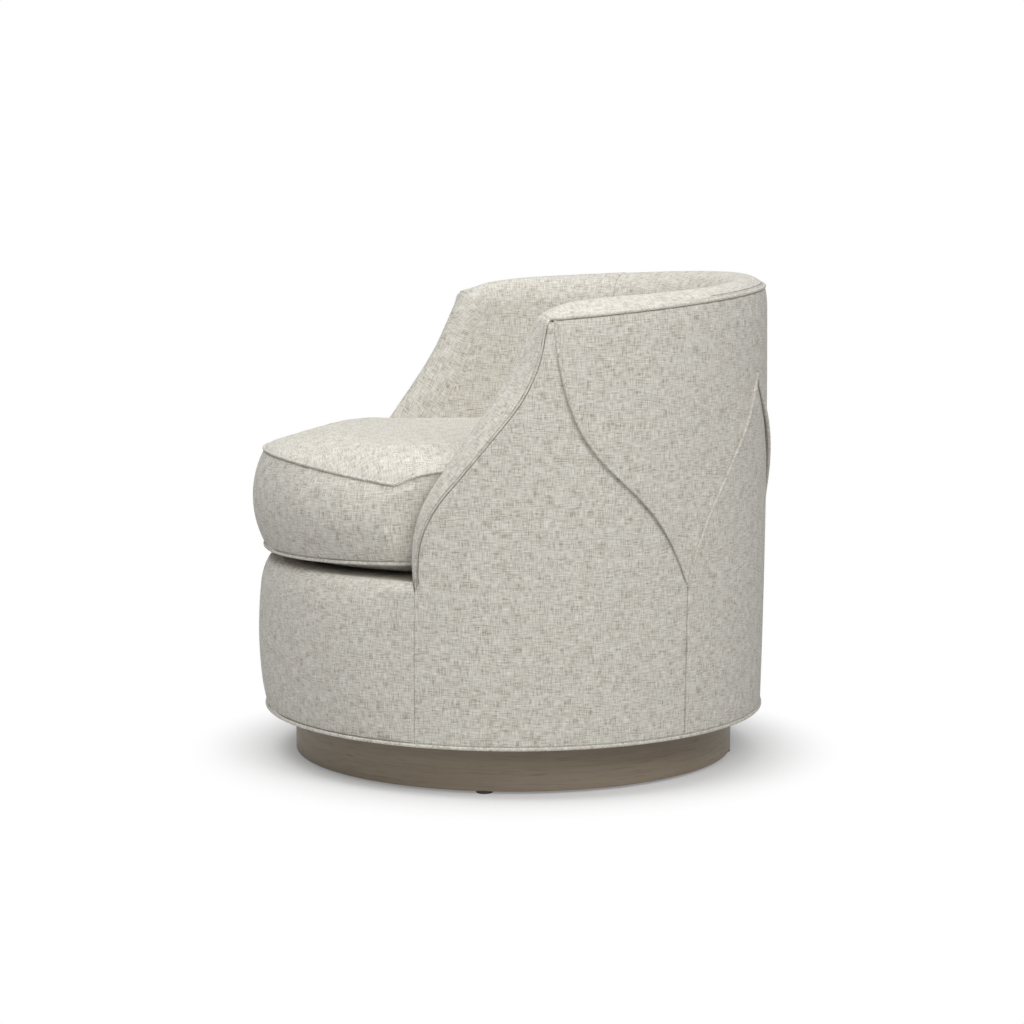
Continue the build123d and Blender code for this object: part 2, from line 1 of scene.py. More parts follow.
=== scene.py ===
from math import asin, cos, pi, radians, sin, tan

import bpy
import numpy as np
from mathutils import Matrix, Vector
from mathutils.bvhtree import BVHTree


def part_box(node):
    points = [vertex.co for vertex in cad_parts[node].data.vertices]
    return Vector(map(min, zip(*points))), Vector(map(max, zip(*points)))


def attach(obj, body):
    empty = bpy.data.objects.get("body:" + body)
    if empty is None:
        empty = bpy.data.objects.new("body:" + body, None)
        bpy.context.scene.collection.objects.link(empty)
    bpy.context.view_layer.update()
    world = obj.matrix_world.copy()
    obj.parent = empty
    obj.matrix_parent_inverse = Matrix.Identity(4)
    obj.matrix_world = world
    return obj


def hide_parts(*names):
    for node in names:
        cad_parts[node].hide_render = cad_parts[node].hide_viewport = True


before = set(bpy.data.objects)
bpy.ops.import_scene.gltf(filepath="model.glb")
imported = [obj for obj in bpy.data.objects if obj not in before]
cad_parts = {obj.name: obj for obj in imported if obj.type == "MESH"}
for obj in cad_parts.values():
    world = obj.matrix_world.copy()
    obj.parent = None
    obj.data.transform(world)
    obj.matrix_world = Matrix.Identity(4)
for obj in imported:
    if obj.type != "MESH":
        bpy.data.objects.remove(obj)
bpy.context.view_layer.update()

# Upholstered barrel swivel chair: petal panels round the back, padded rim and arms, a
# loose cushion with two rows of piping, and a stained wooden plinth.  Metres, +Z up,
# the swivel axis on Z, the front towards -Y.  Angles round the chair are in degrees from
# the centre back (+Y) and grow towards the sitter's left (+X).

MM = 0.001

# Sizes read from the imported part
hem_low, hem_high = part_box("hem_piping")
deck_low, deck_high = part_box("seat_deck")
COVER_DRAW = 2 * MM        # how much tighter the cover is drawn than the solids
HEM_RADIUS = hem_high.x - (hem_high.z - hem_low.z) / 2 - COVER_DRAW
COVER_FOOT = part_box("front_apron")[0].z - 1.2 * MM
DECK_TOP = deck_high.z
WELL_HALF = deck_high.x    # half the width between the arms
WELL_CENTRE = deck_high.y - WELL_HALF
CUSHION_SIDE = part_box("cushion_core")[1].x + 14.3 * MM

# Outer wall of the barrel
WALL_MIDDLE = 480 * MM     # height at which the petals are laid out
WALL_HEIGHTS = (COVER_FOOT, WALL_MIDDLE, 760 * MM)
WALL_RADII = (HEM_RADIUS + 1 * MM, HEM_RADIUS + 6.6 * MM, HEM_RADIUS + 4 * MM)
WALL_CURVE = np.polyfit(WALL_HEIGHTS, WALL_RADII, 2)
FOOT_ROLL = 2 * MM         # how far the cover turns in above the hem
COVER = 5 * MM             # cover with its padding
PAD_COVER = 4 * MM         # the same on the inside pads
DECK_COVER = 12 * MM       # the same on the deck
PIPING = 2.7 * MM          # radius of the piping
PIPING_SIDES = 12
PIPING_PROUD = 1.3 * MM    # centre of the petals' piping outside the panels
PIPING_SINK = 3 * MM       # how deep its ends sink
RIM_HEIGHT = 693 * MM      # centre of the rim piping over the swivel axis
RIM_TILT = radians(4.5)    # rise of the rim towards the back
RIM_RADIUS = HEM_RADIUS + 0.5 * MM
RIM_GAP = 0.3 * MM         # between the panels and the rim piping
RIM_ROLLS = ((4.5 * MM, 30 * MM), (3 * MM, 2.5 * MM))  # turns of the panels in to the rim
RIM_END = 92.7             # angle at which the rim piping ends in the arms
RIM_SINK = 4 * MM          # how deep it sinks there
SINK_TURN = 0.8            # over this angle

# Petals.  A roll is the depth and the width of an edge that turns in to a seam.
PETAL_TIP = 60.0           # angle of the tips of the quarter petals
BACK_TURN = 32.0           # angle of the peaks of the lower petals at the back
ARM_TURN = 91.9            # angle of the peaks of the lower petals at the arms
VALLEY = 300 * MM          # tips of the upper petals
BACK_PEAK = 598 * MM       # peaks of the lower petals at the back
ARM_PEAK = 690 * MM        # peaks of the lower petals at the arms
ARM_PULLS = ((0.429, 0.53), (0.921, 0.328))    # handles of the petal edges, as shares of
BACK_PULLS = ((0.147, 0.448), (0.748, 0.648))  # their width and height
PETAL_FLARE = 2.4 * MM     # how far the upper petals lift towards their edge
FLARE_WIDTH = 42 * MM      # width over which the lift runs out
TUCK_UNDER = 9 * MM        # lower petals under the upper ones
TUCK_DEPTH = 1.5 * MM      # how deep they are pressed there
SEAM_ROLL = (5 * MM, 1.5 * MM)
LAP_ROLL = (2.5 * MM, 3 * MM)
UPRIGHT_ROLL = (6 * MM, 0.8 * MM)  # upright seams over the peaks at the back
UPRIGHT_GAP = 1 * MM
FLAT_ROLL = (1.8 * MM, 1.8 * MM)   # side panels at the apron
APRON_ROLL = (1.6 * MM, 1.8 * MM)
PAD_ROLL = (5 * MM, 2.2 * MM)      # seams between the inside pads
DECK_ROLL = (5 * MM, 22 * MM)
SEAM_GAP = 0.55 * MM       # gap on each side of a plain seam
GROOVE = (1.2 * MM, 5.6 * MM, 0.9 * MM)  # depth, place and width, beside the apron seam

# Arms, seen from the side
ARM_FRONT = 204.55 * MM    # arm seam in front of the axis
APRON_END = 206.4 * MM     # seam between apron and side panels in front of the axis
FOOT_SHIFT = 4.1 * MM      # how far the foot of the arm seam is set back
ARM_FOOT = DECK_TOP - 22 * MM
ARM_START = DECK_TOP - 11 * MM  # where the apron seam turns into the arm seam
ARM_CORNER = 12 * MM       # rounding where the arm seam meets the rim
CORNER_TURN = 75.1
CORNER_STEPS = 8           # columns from the crease in the corner to the end of the arm line
ARM_BENDS = [              # length and turn in degrees of each stretch, from the deck up
    (322 * MM - ARM_FOOT, 0), (194 * MM * radians(38.4), -38.4), (140 * MM, 0),
    (240 * MM * radians(28), 28), (24.7 * MM, 0),
    (ARM_CORNER * radians(CORNER_TURN), -CORNER_TURN),
]
RIM_CROWN = 14 * MM        # padding over the rim piping
CROWNS = np.array([        # distance along the arm and rim seam, and the padding over it
    (0, 3), (39, 4.5), (80, 7.5), (116, 11.5), (193, 17), (222, 18.5), (289, 22), (320, 23.5),
    (353, 23), (387, 21), (420, 16), (437, 13), (459, 12.5), (499, 16.5), (549, 18), (650, 16),
    (830, 14),
]) * MM
RIM_CREST = 0.35           # crest of the padding, as a share of the way to the inside wall
ARM_CREST = 0.65
RIM_LIP = 2.4 * MM         # how high the padding rises straight out of the seam
ARM_LIP = 1 * MM
RIM_PAD = RIM_RADIUS - 0.5 * MM  # where the padding leaves the rim piping
ARM_INSET = 0.8 * MM       # the same behind the edge of the side panels
CORNER_EASE = 26 * MM      # how far the corner of the arm is eased at its inner edge
RIM_DROP = 36 * MM         # rounding of the inner edge of rim and arms
WALL_PUFF = 3 * MM         # bulge of the inside walls
PAD_SEAM = 48.0            # angle of the seams between inside back and arms

# Apron, dust cover and cushion
APRON_PROFILE = np.array([  # bulge over the hem and height, at the centre front
    (0, COVER_FOOT / MM), (5, 101), (8.5, 126), (10.5, 152), (11.7, 185), (10.7, 225),
    (9, 250), (5.5, 277), (-0.5, 295), (-6.5, 305), (-12, 310), (-20, 312), (-32, 310),
]) * MM
APRON_BOW = 110 * MM       # distance from its ends over which the apron bulges
DUST_HOLE = 172.5 * MM     # radius of the hole in the dust cover
CORNER_BACK = 224 * MM     # cushion front corners in front of the axis
CUSHION_REACH = 385 * MM   # cushion seams in front of the axis
CUSHION_MIDDLE = 20 * MM   # middle of the cushion in front of the axis
HIGH_SEAM = 474 * MM       # upper cushion seam at the front
LOW_SEAM = 326 * MM        # lower cushion seam at the front
CORNER_DROOP = 24.5 * MM   # droop of the upper seam at the front corners
SIDE_RISE = 20.5 * MM      # its rise behind them
LOW_RISE = 9 * MM          # rise of the lower seam towards the sides
CROWN_TOP = 493 * MM
CROWN_DOME = 2 * MM        # further rise of the crown to its middle
CROWN_EDGE = 26            # how sharply the crown turns down to its seam
BOXING_BOW = 19 * MM       # how far the boxing bulges at the front
SIDE_BOW = 0.8 * MM        # the same between the arms
BOXING_INSET = 1.5 * MM    # seams of the boxing inside the piping
BOTTOM_RINGS = (           # share of the outline, and share of the rise to the lower seam
    (0.1, 0), (0.4, 0), (0.7, 0), (0.77, 0.01), (0.83, 0.06), (0.875, 0.18), (0.912, 0.38),
    (0.945, 0.65), (0.975, 0.88),
)
TOP_RINGS = (0.985, 0.97, 0.95, 0.92, 0.88, 0.83, 0.77, 0.68, 0.5, 0.3, 0.1)
CUSHION_PIPING = 2.5 * MM
CUSHION_CLEAR = 1.5 * MM   # between the cushion and the arms
CUSHION_CELL = 6 * MM      # mesh of the cushion before it is filled
SEAM_HOLD = 6 * MM         # cloth this near to a seam is held
SWELL_LIMIT = 7 * MM       # how far the filling moves the cloth
LOW_SWELL_LIMIT = 1 * MM   # the same under the lower seam
FILLING_STEPS = 20
FILLING = {
    "quality": 5, "mass": 0.3, "tension_stiffness": 12, "compression_stiffness": 12,
    "shear_stiffness": 6, "bending_stiffness": 0.6, "use_pressure": True,
    "uniform_pressure_force": 4, "vertex_group_mass": "held",
}

# Camera, found by fitting the photograph, and lights
CAMERA_TURN = radians(79.4)
CAMERA_REACH = 4.2726
CAMERA_HEIGHT = 0.9206
CAMERA_DIP = radians(7.3505)
CAMERA_SHIFT = -0.00215    # sideways, to the right of the picture
CAMERA_LENS = 97.45
SOFTBOXES = (              # name, place, width and power in watts
    ("overhead softbox", (0.0, -0.35, 3.0), 3.0, 40),
    ("key softbox", (2.4, 1.1, 2.5), 1.4, 42),
    ("camera side softbox", (2.8, -0.6, 2.1), 1.8, 23),
    ("front softbox", (0.5, -1.3, 2.5), 1.0, 20),
)
LIGHT_AIM = Vector((0, 0, 0.4))
WORLD_FILL = 0.15
FLOOR_HALF = 12.0
FLOOR_GREY = (0.75, 0.75, 0.75, 1)
FLOOR_FADE = (0.33, 0.52)  # distances from the axis between which the floor turns white
FLOOR_GLOW = 0.25          # share of white under the chair

# Colours in everyday 0..255 values
LINEN = {"Pale": (227, 225, 218), "Body": (207, 204, 195), "Dim": (163, 154, 138),
         "Slub": (160, 141, 115), "Slub Share": 0.8}
DECK_CLOTH = {"Pale": (188, 182, 170), "Body": (172, 166, 154), "Dim": (150, 144, 132),
              "Slub": (120, 110, 96), "Slub Share": 0.3}
DUST_CLOTH = {"Pale": (58, 57, 56), "Body": (44, 43, 43), "Dim": (34, 33, 33),
              "Slub": (24, 24, 24), "Slub Share": 0.5}
PLINTH_WOOD = {"Light Wood": (152, 139, 121), "Dark Wood": (138, 125, 108),
               "Pore": (117, 105, 90)}
FRAME_WOOD = {"Light Wood": (214, 186, 146), "Dark Wood": (184, 150, 108),
              "Pore": (140, 108, 74)}
HARD_FINISHES = {  # clean and worn colour, smooth and rough places, relief, metal
    "plated steel": ((186, 188, 190), (150, 148, 144), 0.28, 0.5, 0.02 * MM, 1.0),
    "ball steel": ((214, 215, 217), (190, 190, 190), 0.1, 0.22, 0.005 * MM, 1.0),
    "glide plastic": ((46, 44, 42), (74, 71, 68), 0.45, 0.7, 0.05 * MM, 0.0),
    "webbing rubber": ((60, 56, 50), (88, 82, 72), 0.7, 0.9, 0.1 * MM, 0.0),
}
WHITE = (1, 1, 1, 1)
BLACK = (0, 0, 0, 1)


# Materials

def add_node(tree, kind, inputs=None, **settings):
    """New shader node with its settings; its inputs are sockets to join or plain values."""
    made = tree.nodes.new("ShaderNode" + kind)
    for key, value in settings.items():
        setattr(made, key, value)
    for key, value in (inputs or {}).items():
        if isinstance(value, bpy.types.NodeSocket):
            tree.links.new(value, made.inputs[key])
        else:
            made.inputs[key].default_value = value
    return made


def calculate(tree, operation, *values):
    """Result of a math node."""
    return add_node(tree, "Math", dict(enumerate(values)), operation=operation).outputs[0]


def noise(tree, place, stretch, detail=2.0, roughness=0.55):
    """Noise over a place, with so many blotches per metre along each axis."""
    scaled = add_node(tree, "VectorMath", {0: place, 1: stretch}, operation="MULTIPLY")
    made = add_node(tree, "TexNoise", {
        "Vector": scaled.outputs[0], "Scale": 1.0, "Detail": detail, "Roughness": roughness},
        noise_dimensions="3D")
    return made.outputs["Fac"]


def window(tree, value, low, high):
    """Value brought to 0..1 between two limits, softly."""
    made = add_node(tree, "MapRange", {"Value": value, "From Min": low, "From Max": high},
                    interpolation_type="SMOOTHSTEP")
    return made.outputs["Result"]


def mix_colour(tree, share, first, second):
    """Mix of two colours."""
    made = add_node(tree, "Mix", data_type="RGBA", inputs={0: share, 6: first, 7: second})
    return made.outputs[2]


def mix_number(tree, share, first, second):
    """Mix of two numbers."""
    made = add_node(tree, "Mix", data_type="FLOAT", inputs={0: share, 2: first, 3: second})
    return made.outputs[0]


def new_group(name, inputs):
    """Shader group with named sockets: a vector where no value is given, numbers, colours."""
    vector, number, colour = "NodeSocketVector", "NodeSocketFloat", "NodeSocketColor"
    tree = bpy.data.node_groups.new(name, "ShaderNodeTree")
    for label, value in inputs.items():
        kind = vector if value is None else colour if isinstance(value, tuple) else number
        socket = tree.interface.new_socket(label, in_out="INPUT", socket_type=kind)
        if value is not None:
            socket.default_value = value
    for label, kind in (("Color", colour), ("Roughness", number), ("Height", number)):
        tree.interface.new_socket(label, in_out="OUTPUT", socket_type=kind)
    return tree, tree.nodes.new("NodeGroupInput").outputs


def end_group(tree, **results):
    """Join the results of a group to its output sockets."""
    end = tree.nodes.new("NodeGroupOutput")
    for label, value in results.items():
        tree.links.new(value, end.inputs[label])
    return tree


def slub_weave_group():
    """Plain weave of uneven yarns: pale threads, tan slubs in clusters, yarn relief."""
    tree, given = new_group("slub weave", {
        "Cloth": None, "Yarn": 1.7 * MM, "Pale": WHITE, "Body": WHITE, "Dim": WHITE,
        "Slub": WHITE, "Slub Share": 1.0})
    cloth = given["Cloth"]
    split = add_node(tree, "SeparateXYZ", {0: cloth})
    waves = []
    for axis in (0, 1):
        phase = calculate(tree, "DIVIDE", split.outputs[axis], given["Yarn"])
        waves.append(calculate(tree, "SINE", calculate(tree, "MULTIPLY", phase, pi)))
    weft_on_top = window(tree, calculate(tree, "MULTIPLY", *waves), -0.25, 0.25)
    weft = noise(tree, cloth, (68, 700, 1), 1.5, 0.6)
    warp = noise(tree, cloth, (700, 66, 4), 1.5, 0.6)
    cloud = noise(tree, cloth, (50, 62, 7), 2.0, 0.6)
    threads = calculate(tree, "MULTIPLY", calculate(tree, "ADD", weft, warp), 0.42)
    tone = calculate(tree, "MULTIPLY_ADD", cloud, 0.16, threads)
    shade = mix_colour(tree, window(tree, tone, 0.375, 0.50), given["Dim"], given["Body"])
    shade = mix_colour(tree, window(tree, tone, 0.50, 0.615), shade, given["Pale"])
    clusters = window(tree, noise(tree, cloth, (24, 30, 3), 3.0, 0.6), 0.40, 0.66)
    weft_slub = window(tree, noise(tree, cloth, (50, 750, 5), 1.0), 0.58, 0.74)
    warp_slub = window(tree, noise(tree, cloth, (750, 58, 9), 1.0), 0.64, 0.78)
    slub = calculate(tree, "MAXIMUM", weft_slub, warp_slub)
    spread = calculate(tree, "MULTIPLY_ADD", clusters, 0.65, 0.35)
    slub = calculate(tree, "MULTIPLY", slub, spread)
    slub = calculate(tree, "MULTIPLY", slub, given["Slub Share"])
    relief = mix_number(tree, weft_on_top, *(calculate(tree, "ABSOLUTE", w) for w in waves))
    return end_group(
        tree, Color=mix_colour(tree, slub, shade, given["Slub"]),
        Roughness=calculate(tree, "MULTIPLY_ADD", tone, -0.12, 0.95),
        Height=calculate(tree, "MULTIPLY_ADD", tone, 1.6, relief))


def wood_grain_group():
    """Long wood grain with pores along the first coordinate."""
    tree, given = new_group("wood grain", {
        "Along Grain": None, "Light Wood": WHITE, "Dark Wood": WHITE, "Pore": BLACK})
    place = given["Along Grain"]
    bands = noise(tree, place, (2.2, 70, 70), 4.0, 0.6)
    fine = noise(tree, place, (9, 620, 620), 2.0)
    pores = window(tree, noise(tree, place, (24, 900, 900), 1.0), 0.62, 0.72)
    tone = calculate(tree, "MULTIPLY_ADD", fine, 0.45, calculate(tree, "MULTIPLY", bands, 0.6))
    shade = window(tree, tone, 0.34, 0.7)
    shade = mix_colour(tree, shade, given["Dark Wood"], given["Light Wood"])
    in_pores = calculate(tree, "MULTIPLY", pores, 0.6)
    return end_group(
        tree, Color=mix_colour(tree, in_pores, shade, given["Pore"]),
        Roughness=calculate(tree, "MULTIPLY_ADD", pores, 0.2, 0.5),
        Height=calculate(tree, "SUBTRACT", tone, pores))


def scuff_group():
    """Light scuffs and handling marks for hard parts."""
    tree, given = new_group("scuffs", {
        "Clean": WHITE, "Worn": WHITE, "Smooth": 0.3, "Rough": 0.6})
    place = add_node(tree, "TexCoord").outputs["Object"]
    blotches = noise(tree, place, (30, 30, 30), 4.0, 0.65)
    scratches = window(tree, noise(tree, place, (700, 40, 300), 2.0), 0.6, 0.72)
    worn = window(tree, calculate(tree, "MULTIPLY_ADD", scratches, 0.2, blotches), 0.45, 0.75)
    return end_group(
        tree, Color=mix_colour(tree, worn, given["Clean"], given["Worn"]),
        Roughness=mix_number(tree, worn, given["Smooth"], given["Rough"]),
        Height=calculate(tree, "SUBTRACT", blotches, scratches))


def colour_of(value):
    """Linear colour from everyday 0..255 values; plain numbers stay as they are."""
    if not isinstance(value, tuple):
        return value
    parts = [part / 255 for part in value]
    return (*(p / 12.92 if p <= 0.04045 else ((p + 0.055) / 1.055) ** 2.4 for p in parts), 1.0)


def empty_tree(owner):
    """Node tree of a material or of the world, cleared."""
    owner.use_nodes = True
    owner.node_tree.nodes.clear()
    return owner.node_tree


def finish_material(name, group, settings, bump, plain):
    """Material whose colour, roughness and bump come from a group, with plain shader values."""
    material = bpy.data.materials.new(name)
    tree = empty_tree(material)
    settings = {key: colour_of(value) for key, value in settings.items()}
    pattern = add_node(tree, "Group", settings, node_tree=group)
    relief = add_node(tree, "Bump", {
        "Strength": 1.0, "Distance": bump, "Height": pattern.outputs["Height"]})
    shader = add_node(tree, "BsdfPrincipled", {
        **plain, "Base Color": pattern.outputs["Color"],
        "Roughness": pattern.outputs["Roughness"], "Normal": relief.outputs["Normal"]})
    add_node(tree, "OutputMaterial", {0: shader.outputs[0]})
    return material, tree, pattern


def cloth_material(name, settings, turn=0.0, sheen=0.15):
    """Woven cloth laid along the cloth coordinates of a piece."""
    material, tree, pattern = finish_material(name, weave, settings, 0.25 * MM, {
        "Specular IOR Level": 0.15, "Sheen Weight": sheen, "Sheen Roughness": 0.6})
    cloth = add_node(tree, "UVMap", uv_map="cloth")
    lay = add_node(tree, "Mapping", {"Vector": cloth.outputs[0], "Rotation": (0, 0, turn)})
    tree.links.new(lay.outputs[0], pattern.inputs["Cloth"])
    return material


def wood_material(name, settings, ring):
    """Wood with its grain round the plinth ring, or along X."""
    material, tree, pattern = finish_material(name, grain, settings, 0.12 * MM, {
        "Specular IOR Level": 0.35})
    place = add_node(tree, "TexCoord").outputs["Object"]
    if ring:
        split = add_node(tree, "SeparateXYZ", {0: place}).outputs
        turn = calculate(tree, "ARCTAN2", split[0], split[1])
        place = add_node(tree, "CombineXYZ", {
            0: calculate(tree, "MULTIPLY", turn, 0.34), 1: split[2],
            2: calculate(tree, "MULTIPLY", split[0], 0.02)}).outputs[0]
    tree.links.new(place, pattern.inputs["Along Grain"])
    return material


def hard_material(name):
    """One of the hard finishes, with its scuffs."""
    clean, worn, even, rough, bump, metal = HARD_FINISHES[name]
    return finish_material(name, scuffs, {
        "Clean": clean, "Worn": worn, "Smooth": even, "Rough": rough}, bump,
        {"Metallic": metal})[0]


weave = slub_weave_group()
grain = wood_grain_group()
scuffs = scuff_group()
linen = cloth_material("slub linen", LINEN)
piping_linen = cloth_material("bias-cut linen", {**LINEN, "Slub Share": 0.5}, turn=pi / 4)
deck_cloth = cloth_material("deck cloth", DECK_CLOTH)
dust_cloth = cloth_material("dust cloth", DUST_CLOTH, sheen=0.05)


def dress_frame():
    """Finishes on the parts that are carried over as they are."""
    for finish, nodes in (
        (wood_material("grey-brown stained wood", PLINTH_WOOD, ring=True), ["plinth_ring"]),
        (wood_material("frame wood", FRAME_WOOD, ring=False), [
            "plinth_board", "plinth_blocks", "base_board", "front_rail", "rear_rail", "top_rail",
            "back_posts", "arm_board_left", "arm_board_right"]),
        (hard_material("plated steel"), [
            "swivel_lower_plate", "swivel_upper_plate", "swivel_pin", "lower_bolts",
            "upper_bolts", "bearing_cage", "webbing_clips"]),
        (hard_material("ball steel"), ["bearing_balls"]),
        (hard_material("glide plastic"), ["floor_glides"]),
        (hard_material("webbing rubber"), ["seat_webbing"]),
    ):
        for node in nodes:
            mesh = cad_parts[node].data
            mesh.materials.clear()
            mesh.materials.append(finish)


# Curves

def around(angle, radius, height):
    """Points at angles from the centre back."""
    turn = np.radians(angle)
    return np.stack(np.broadcast_arrays(radius * np.sin(turn), radius * np.cos(turn), height), -1)


def wall_radius(height):
    """Radius of the outer wall at a height."""
    return np.polyval(WALL_CURVE, height)


def rim_line(angle):
    """Height of the rim piping at an angle."""
    return RIM_HEIGHT + RIM_RADIUS * np.cos(np.radians(angle)) * tan(RIM_TILT)


def smooth(value):
    """Soft step from 0 to 1."""
    step = np.clip(value, 0, 1)
    return step * step * (3 - 2 * step)


def ramp(value, start, width):
    """Soft step that begins at a start and takes a width."""
    return smooth((value - start) / width)


def roll(distance, depth, width):
    """Drop of a cover that rolls into a seam."""
    left = 1 - np.clip(distance / width, 0, 1)
    return -depth * (1 - np.sqrt(1 - left * left))


def bezier(points, count=120):
    """Points along a cubic curve."""
    t = np.linspace(0, 1, count)[:, None]
    a, b, c, d = (np.array(point) for point in points)
    return a * (1 - t) ** 3 + 3 * b * t * (1 - t) ** 2 + 3 * c * t * t * (1 - t) + d * t ** 3


def smooth_through(places, knots, values):
    """Smooth curve through a few values."""
    slopes = np.gradient(values, knots)
    index = np.clip(np.searchsorted(knots, places) - 1, 0, len(knots) - 2)
    span = knots[index + 1] - knots[index]
    t = (places - knots[index]) / span
    start = (1 + 2 * t) * (1 - t) ** 2 * values[index] + t * (1 - t) ** 2 * span * slopes[index]
    end = t * t * (3 - 2 * t) * values[index + 1] + t * t * (t - 1) * span * slopes[index + 1]
    return start + end


def run_lengths(points, axis):
    """Distance travelled along one direction of a grid."""
    steps = np.linalg.norm(np.diff(points, axis=axis), axis=-1)
    start = np.zeros_like(np.take(steps, [0], axis=axis))
    return np.concatenate([start, np.cumsum(steps, axis=axis)], axis=axis)


def unit(vectors):
    """Vectors brought to length one."""
    return vectors / np.linalg.norm(vectors, axis=-1, keepdims=True)


# Mesh pieces

def grid_normals(points):
    """Normals of a grid of points, rows upward and columns to the right."""
    normals = np.cross(np.gradient(points, axis=1), np.gradient(points, axis=0))
    return normals / np.maximum(np.linalg.norm(normals, axis=-1, keepdims=True), 1e-9)


def grid_cells(rows, cols, wrap_rows=False, wrap_cols=False):
    """Corner rows and columns of the cells of a grid, before wrapping."""
    row, col = np.meshgrid(np.arange(rows if wrap_rows else rows - 1),
                           np.arange(cols if wrap_cols else cols - 1), indexing="ij")
    row_corners = np.stack([row, row, row + 1, row + 1], -1).reshape(-1, 4)
    col_corners = np.stack([col, col + 1, col + 1, col], -1).reshape(-1, 4)
    return row_corners, col_corners


def new_piece(name, points, faces):
    """Mesh object, put in the scene."""
    mesh = bpy.data.meshes.new(name)
    mesh.from_pydata(np.asarray(points).reshape(-1, 3).tolist(), [], list(faces))
    mesh.update()
    return in_scene(name, mesh)


def in_scene(name, data):
    """Object for a mesh, a lamp or a camera, put in the scene."""
    made = bpy.data.objects.new(name, data)
    bpy.context.scene.collection.objects.link(made)
    return made


def finish_piece(piece, cloth, material, nodes, body="seat"):
    """Cloth coordinates in metres on the face corners, material, body and replaced nodes."""
    mesh = piece.data
    layer = mesh.uv_layers.new(name="cloth")
    layer.data.foreach_set("uv", np.asarray(cloth, dtype=np.float32).ravel())
    mesh.polygons.foreach_set("use_smooth", np.ones(len(mesh.polygons), dtype=bool))
    mesh.materials.clear()
    mesh.materials.append(material)
    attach(piece, body)
    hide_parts(*nodes)


def padded_cover(name, points, node, cloth=None, thickness=COVER, band=None, material=linen):
    """Closed cover whose outside is a grid of points, with its padding behind it."""
    rows, cols = points.shape[:2]
    back = points - grid_normals(points) * thickness
    if cloth is None:
        cloth = np.stack([run_lengths(points, 1), run_lengths(points, 0)], -1)
    row, col = grid_cells(rows, cols)
    front_faces = row * cols + col
    back_faces = front_faces[:, ::-1] + rows * cols
    last_row = (rows - 1) * cols
    border = np.concatenate([
        np.arange(cols), np.arange(1, rows) * cols + cols - 1,
        last_row + np.arange(cols - 2, -1, -1), np.arange(rows - 2, 0, -1) * cols,
    ])
    ahead = np.roll(border, -1)
    side_faces = np.stack([ahead, border, border + rows * cols, ahead + rows * cols], -1)
    faces = np.concatenate([front_faces, back_faces, side_faces])
    corners = np.concatenate([cloth.reshape(-1, 2)] * 2)[faces]
    if band is not None:
        first_row, strip = band
        on_band = np.nonzero(row[:, 0] >= first_row)[0]
        corners[on_band] = strip.reshape(-1, 2)[front_faces[on_band]]
    both = np.concatenate([points.reshape(-1, 3), back.reshape(-1, 3)])
    piece = new_piece(name, both, faces.tolist())
    finish_piece(piece, corners, material, [node])


def piping(name, path, node, radius=PIPING, body="seat", closed=False):
    """Cord covered with bias-cut cloth along a path."""
    if closed:
        ahead = np.roll(path, -1, axis=0) - np.roll(path, 1, axis=0)
    else:
        ahead = np.gradient(path, axis=0)
    ahead = unit(ahead)
    sides = unit(np.cross(ahead, np.array((0.0, 0.0, 1.0))))
    tops = np.cross(sides, ahead)
    turn = np.linspace(0, 2 * pi, PIPING_SIDES, endpoint=False)
    rings = (path[:, None] + radius * np.cos(turn)[None, :, None] * sides[:, None]
             + radius * np.sin(turn)[None, :, None] * tops[:, None])
    rows = len(path)
    row, col = grid_cells(rows, PIPING_SIDES, wrap_rows=closed, wrap_cols=True)
    faces = (row % rows) * PIPING_SIDES + col % PIPING_SIDES
    lengths = run_lengths(np.concatenate([path, path[:1]]) if closed else path, 0)
    corners = np.stack([lengths[row], col * 2 * pi * radius / PIPING_SIDES], -1)
    piece = new_piece(name, rings, faces[:, ::-1].tolist())
    finish_piece(piece, corners[:, ::-1], piping_linen, [node], body)


# Petal panels of the outer cover

def ogee(tip_turn, peak_turn, peak):
    """Heights and angles of a petal edge from its tip to its peak."""
    half = wall_radius(WALL_MIDDLE) * sin(radians(peak_turn - tip_turn))
    rise = peak - VALLEY
    pulls = ARM_PULLS if peak > BACK_PEAK else BACK_PULLS
    points = [(0, VALLEY), *((half * u, VALLEY + rise * v) for u, v in pulls), (half, peak)]
    across, heights = bezier(points).T
    return heights, tip_turn + np.degrees(np.arcsin(across / wall_radius(WALL_MIDDLE)))


def edge_places(widths, count=48):
    """Shares across each row of a panel, closer together near both edges."""
    near = np.array((0, 0.15, 0.4, 0.8, 1.5, 2.4, 3.6, 4.6, 5.6, 6.6, 8, 12, 17, 24, 32, 42)) * MM
    inner = np.linspace(0, 1, count - 2 * len(near) + 2)[1:-1]
    scaled = near * np.minimum(1.0, 0.45 * widths / near[-1]) / widths
    middle = scaled[:, -1:] + inner * (1 - 2 * scaled[:, -1:])
    return np.concatenate([scaled, middle, 1 - scaled[:, ::-1]], 1)


def square_widths(edge, span):
    """Width of each row of a panel, measured square to one of its edges."""
    ahead = unit(np.gradient(edge, axis=0))
    return np.abs(ahead[:, 0] * span[:, 1] - ahead[:, 1] * span[:, 0])[:, None]


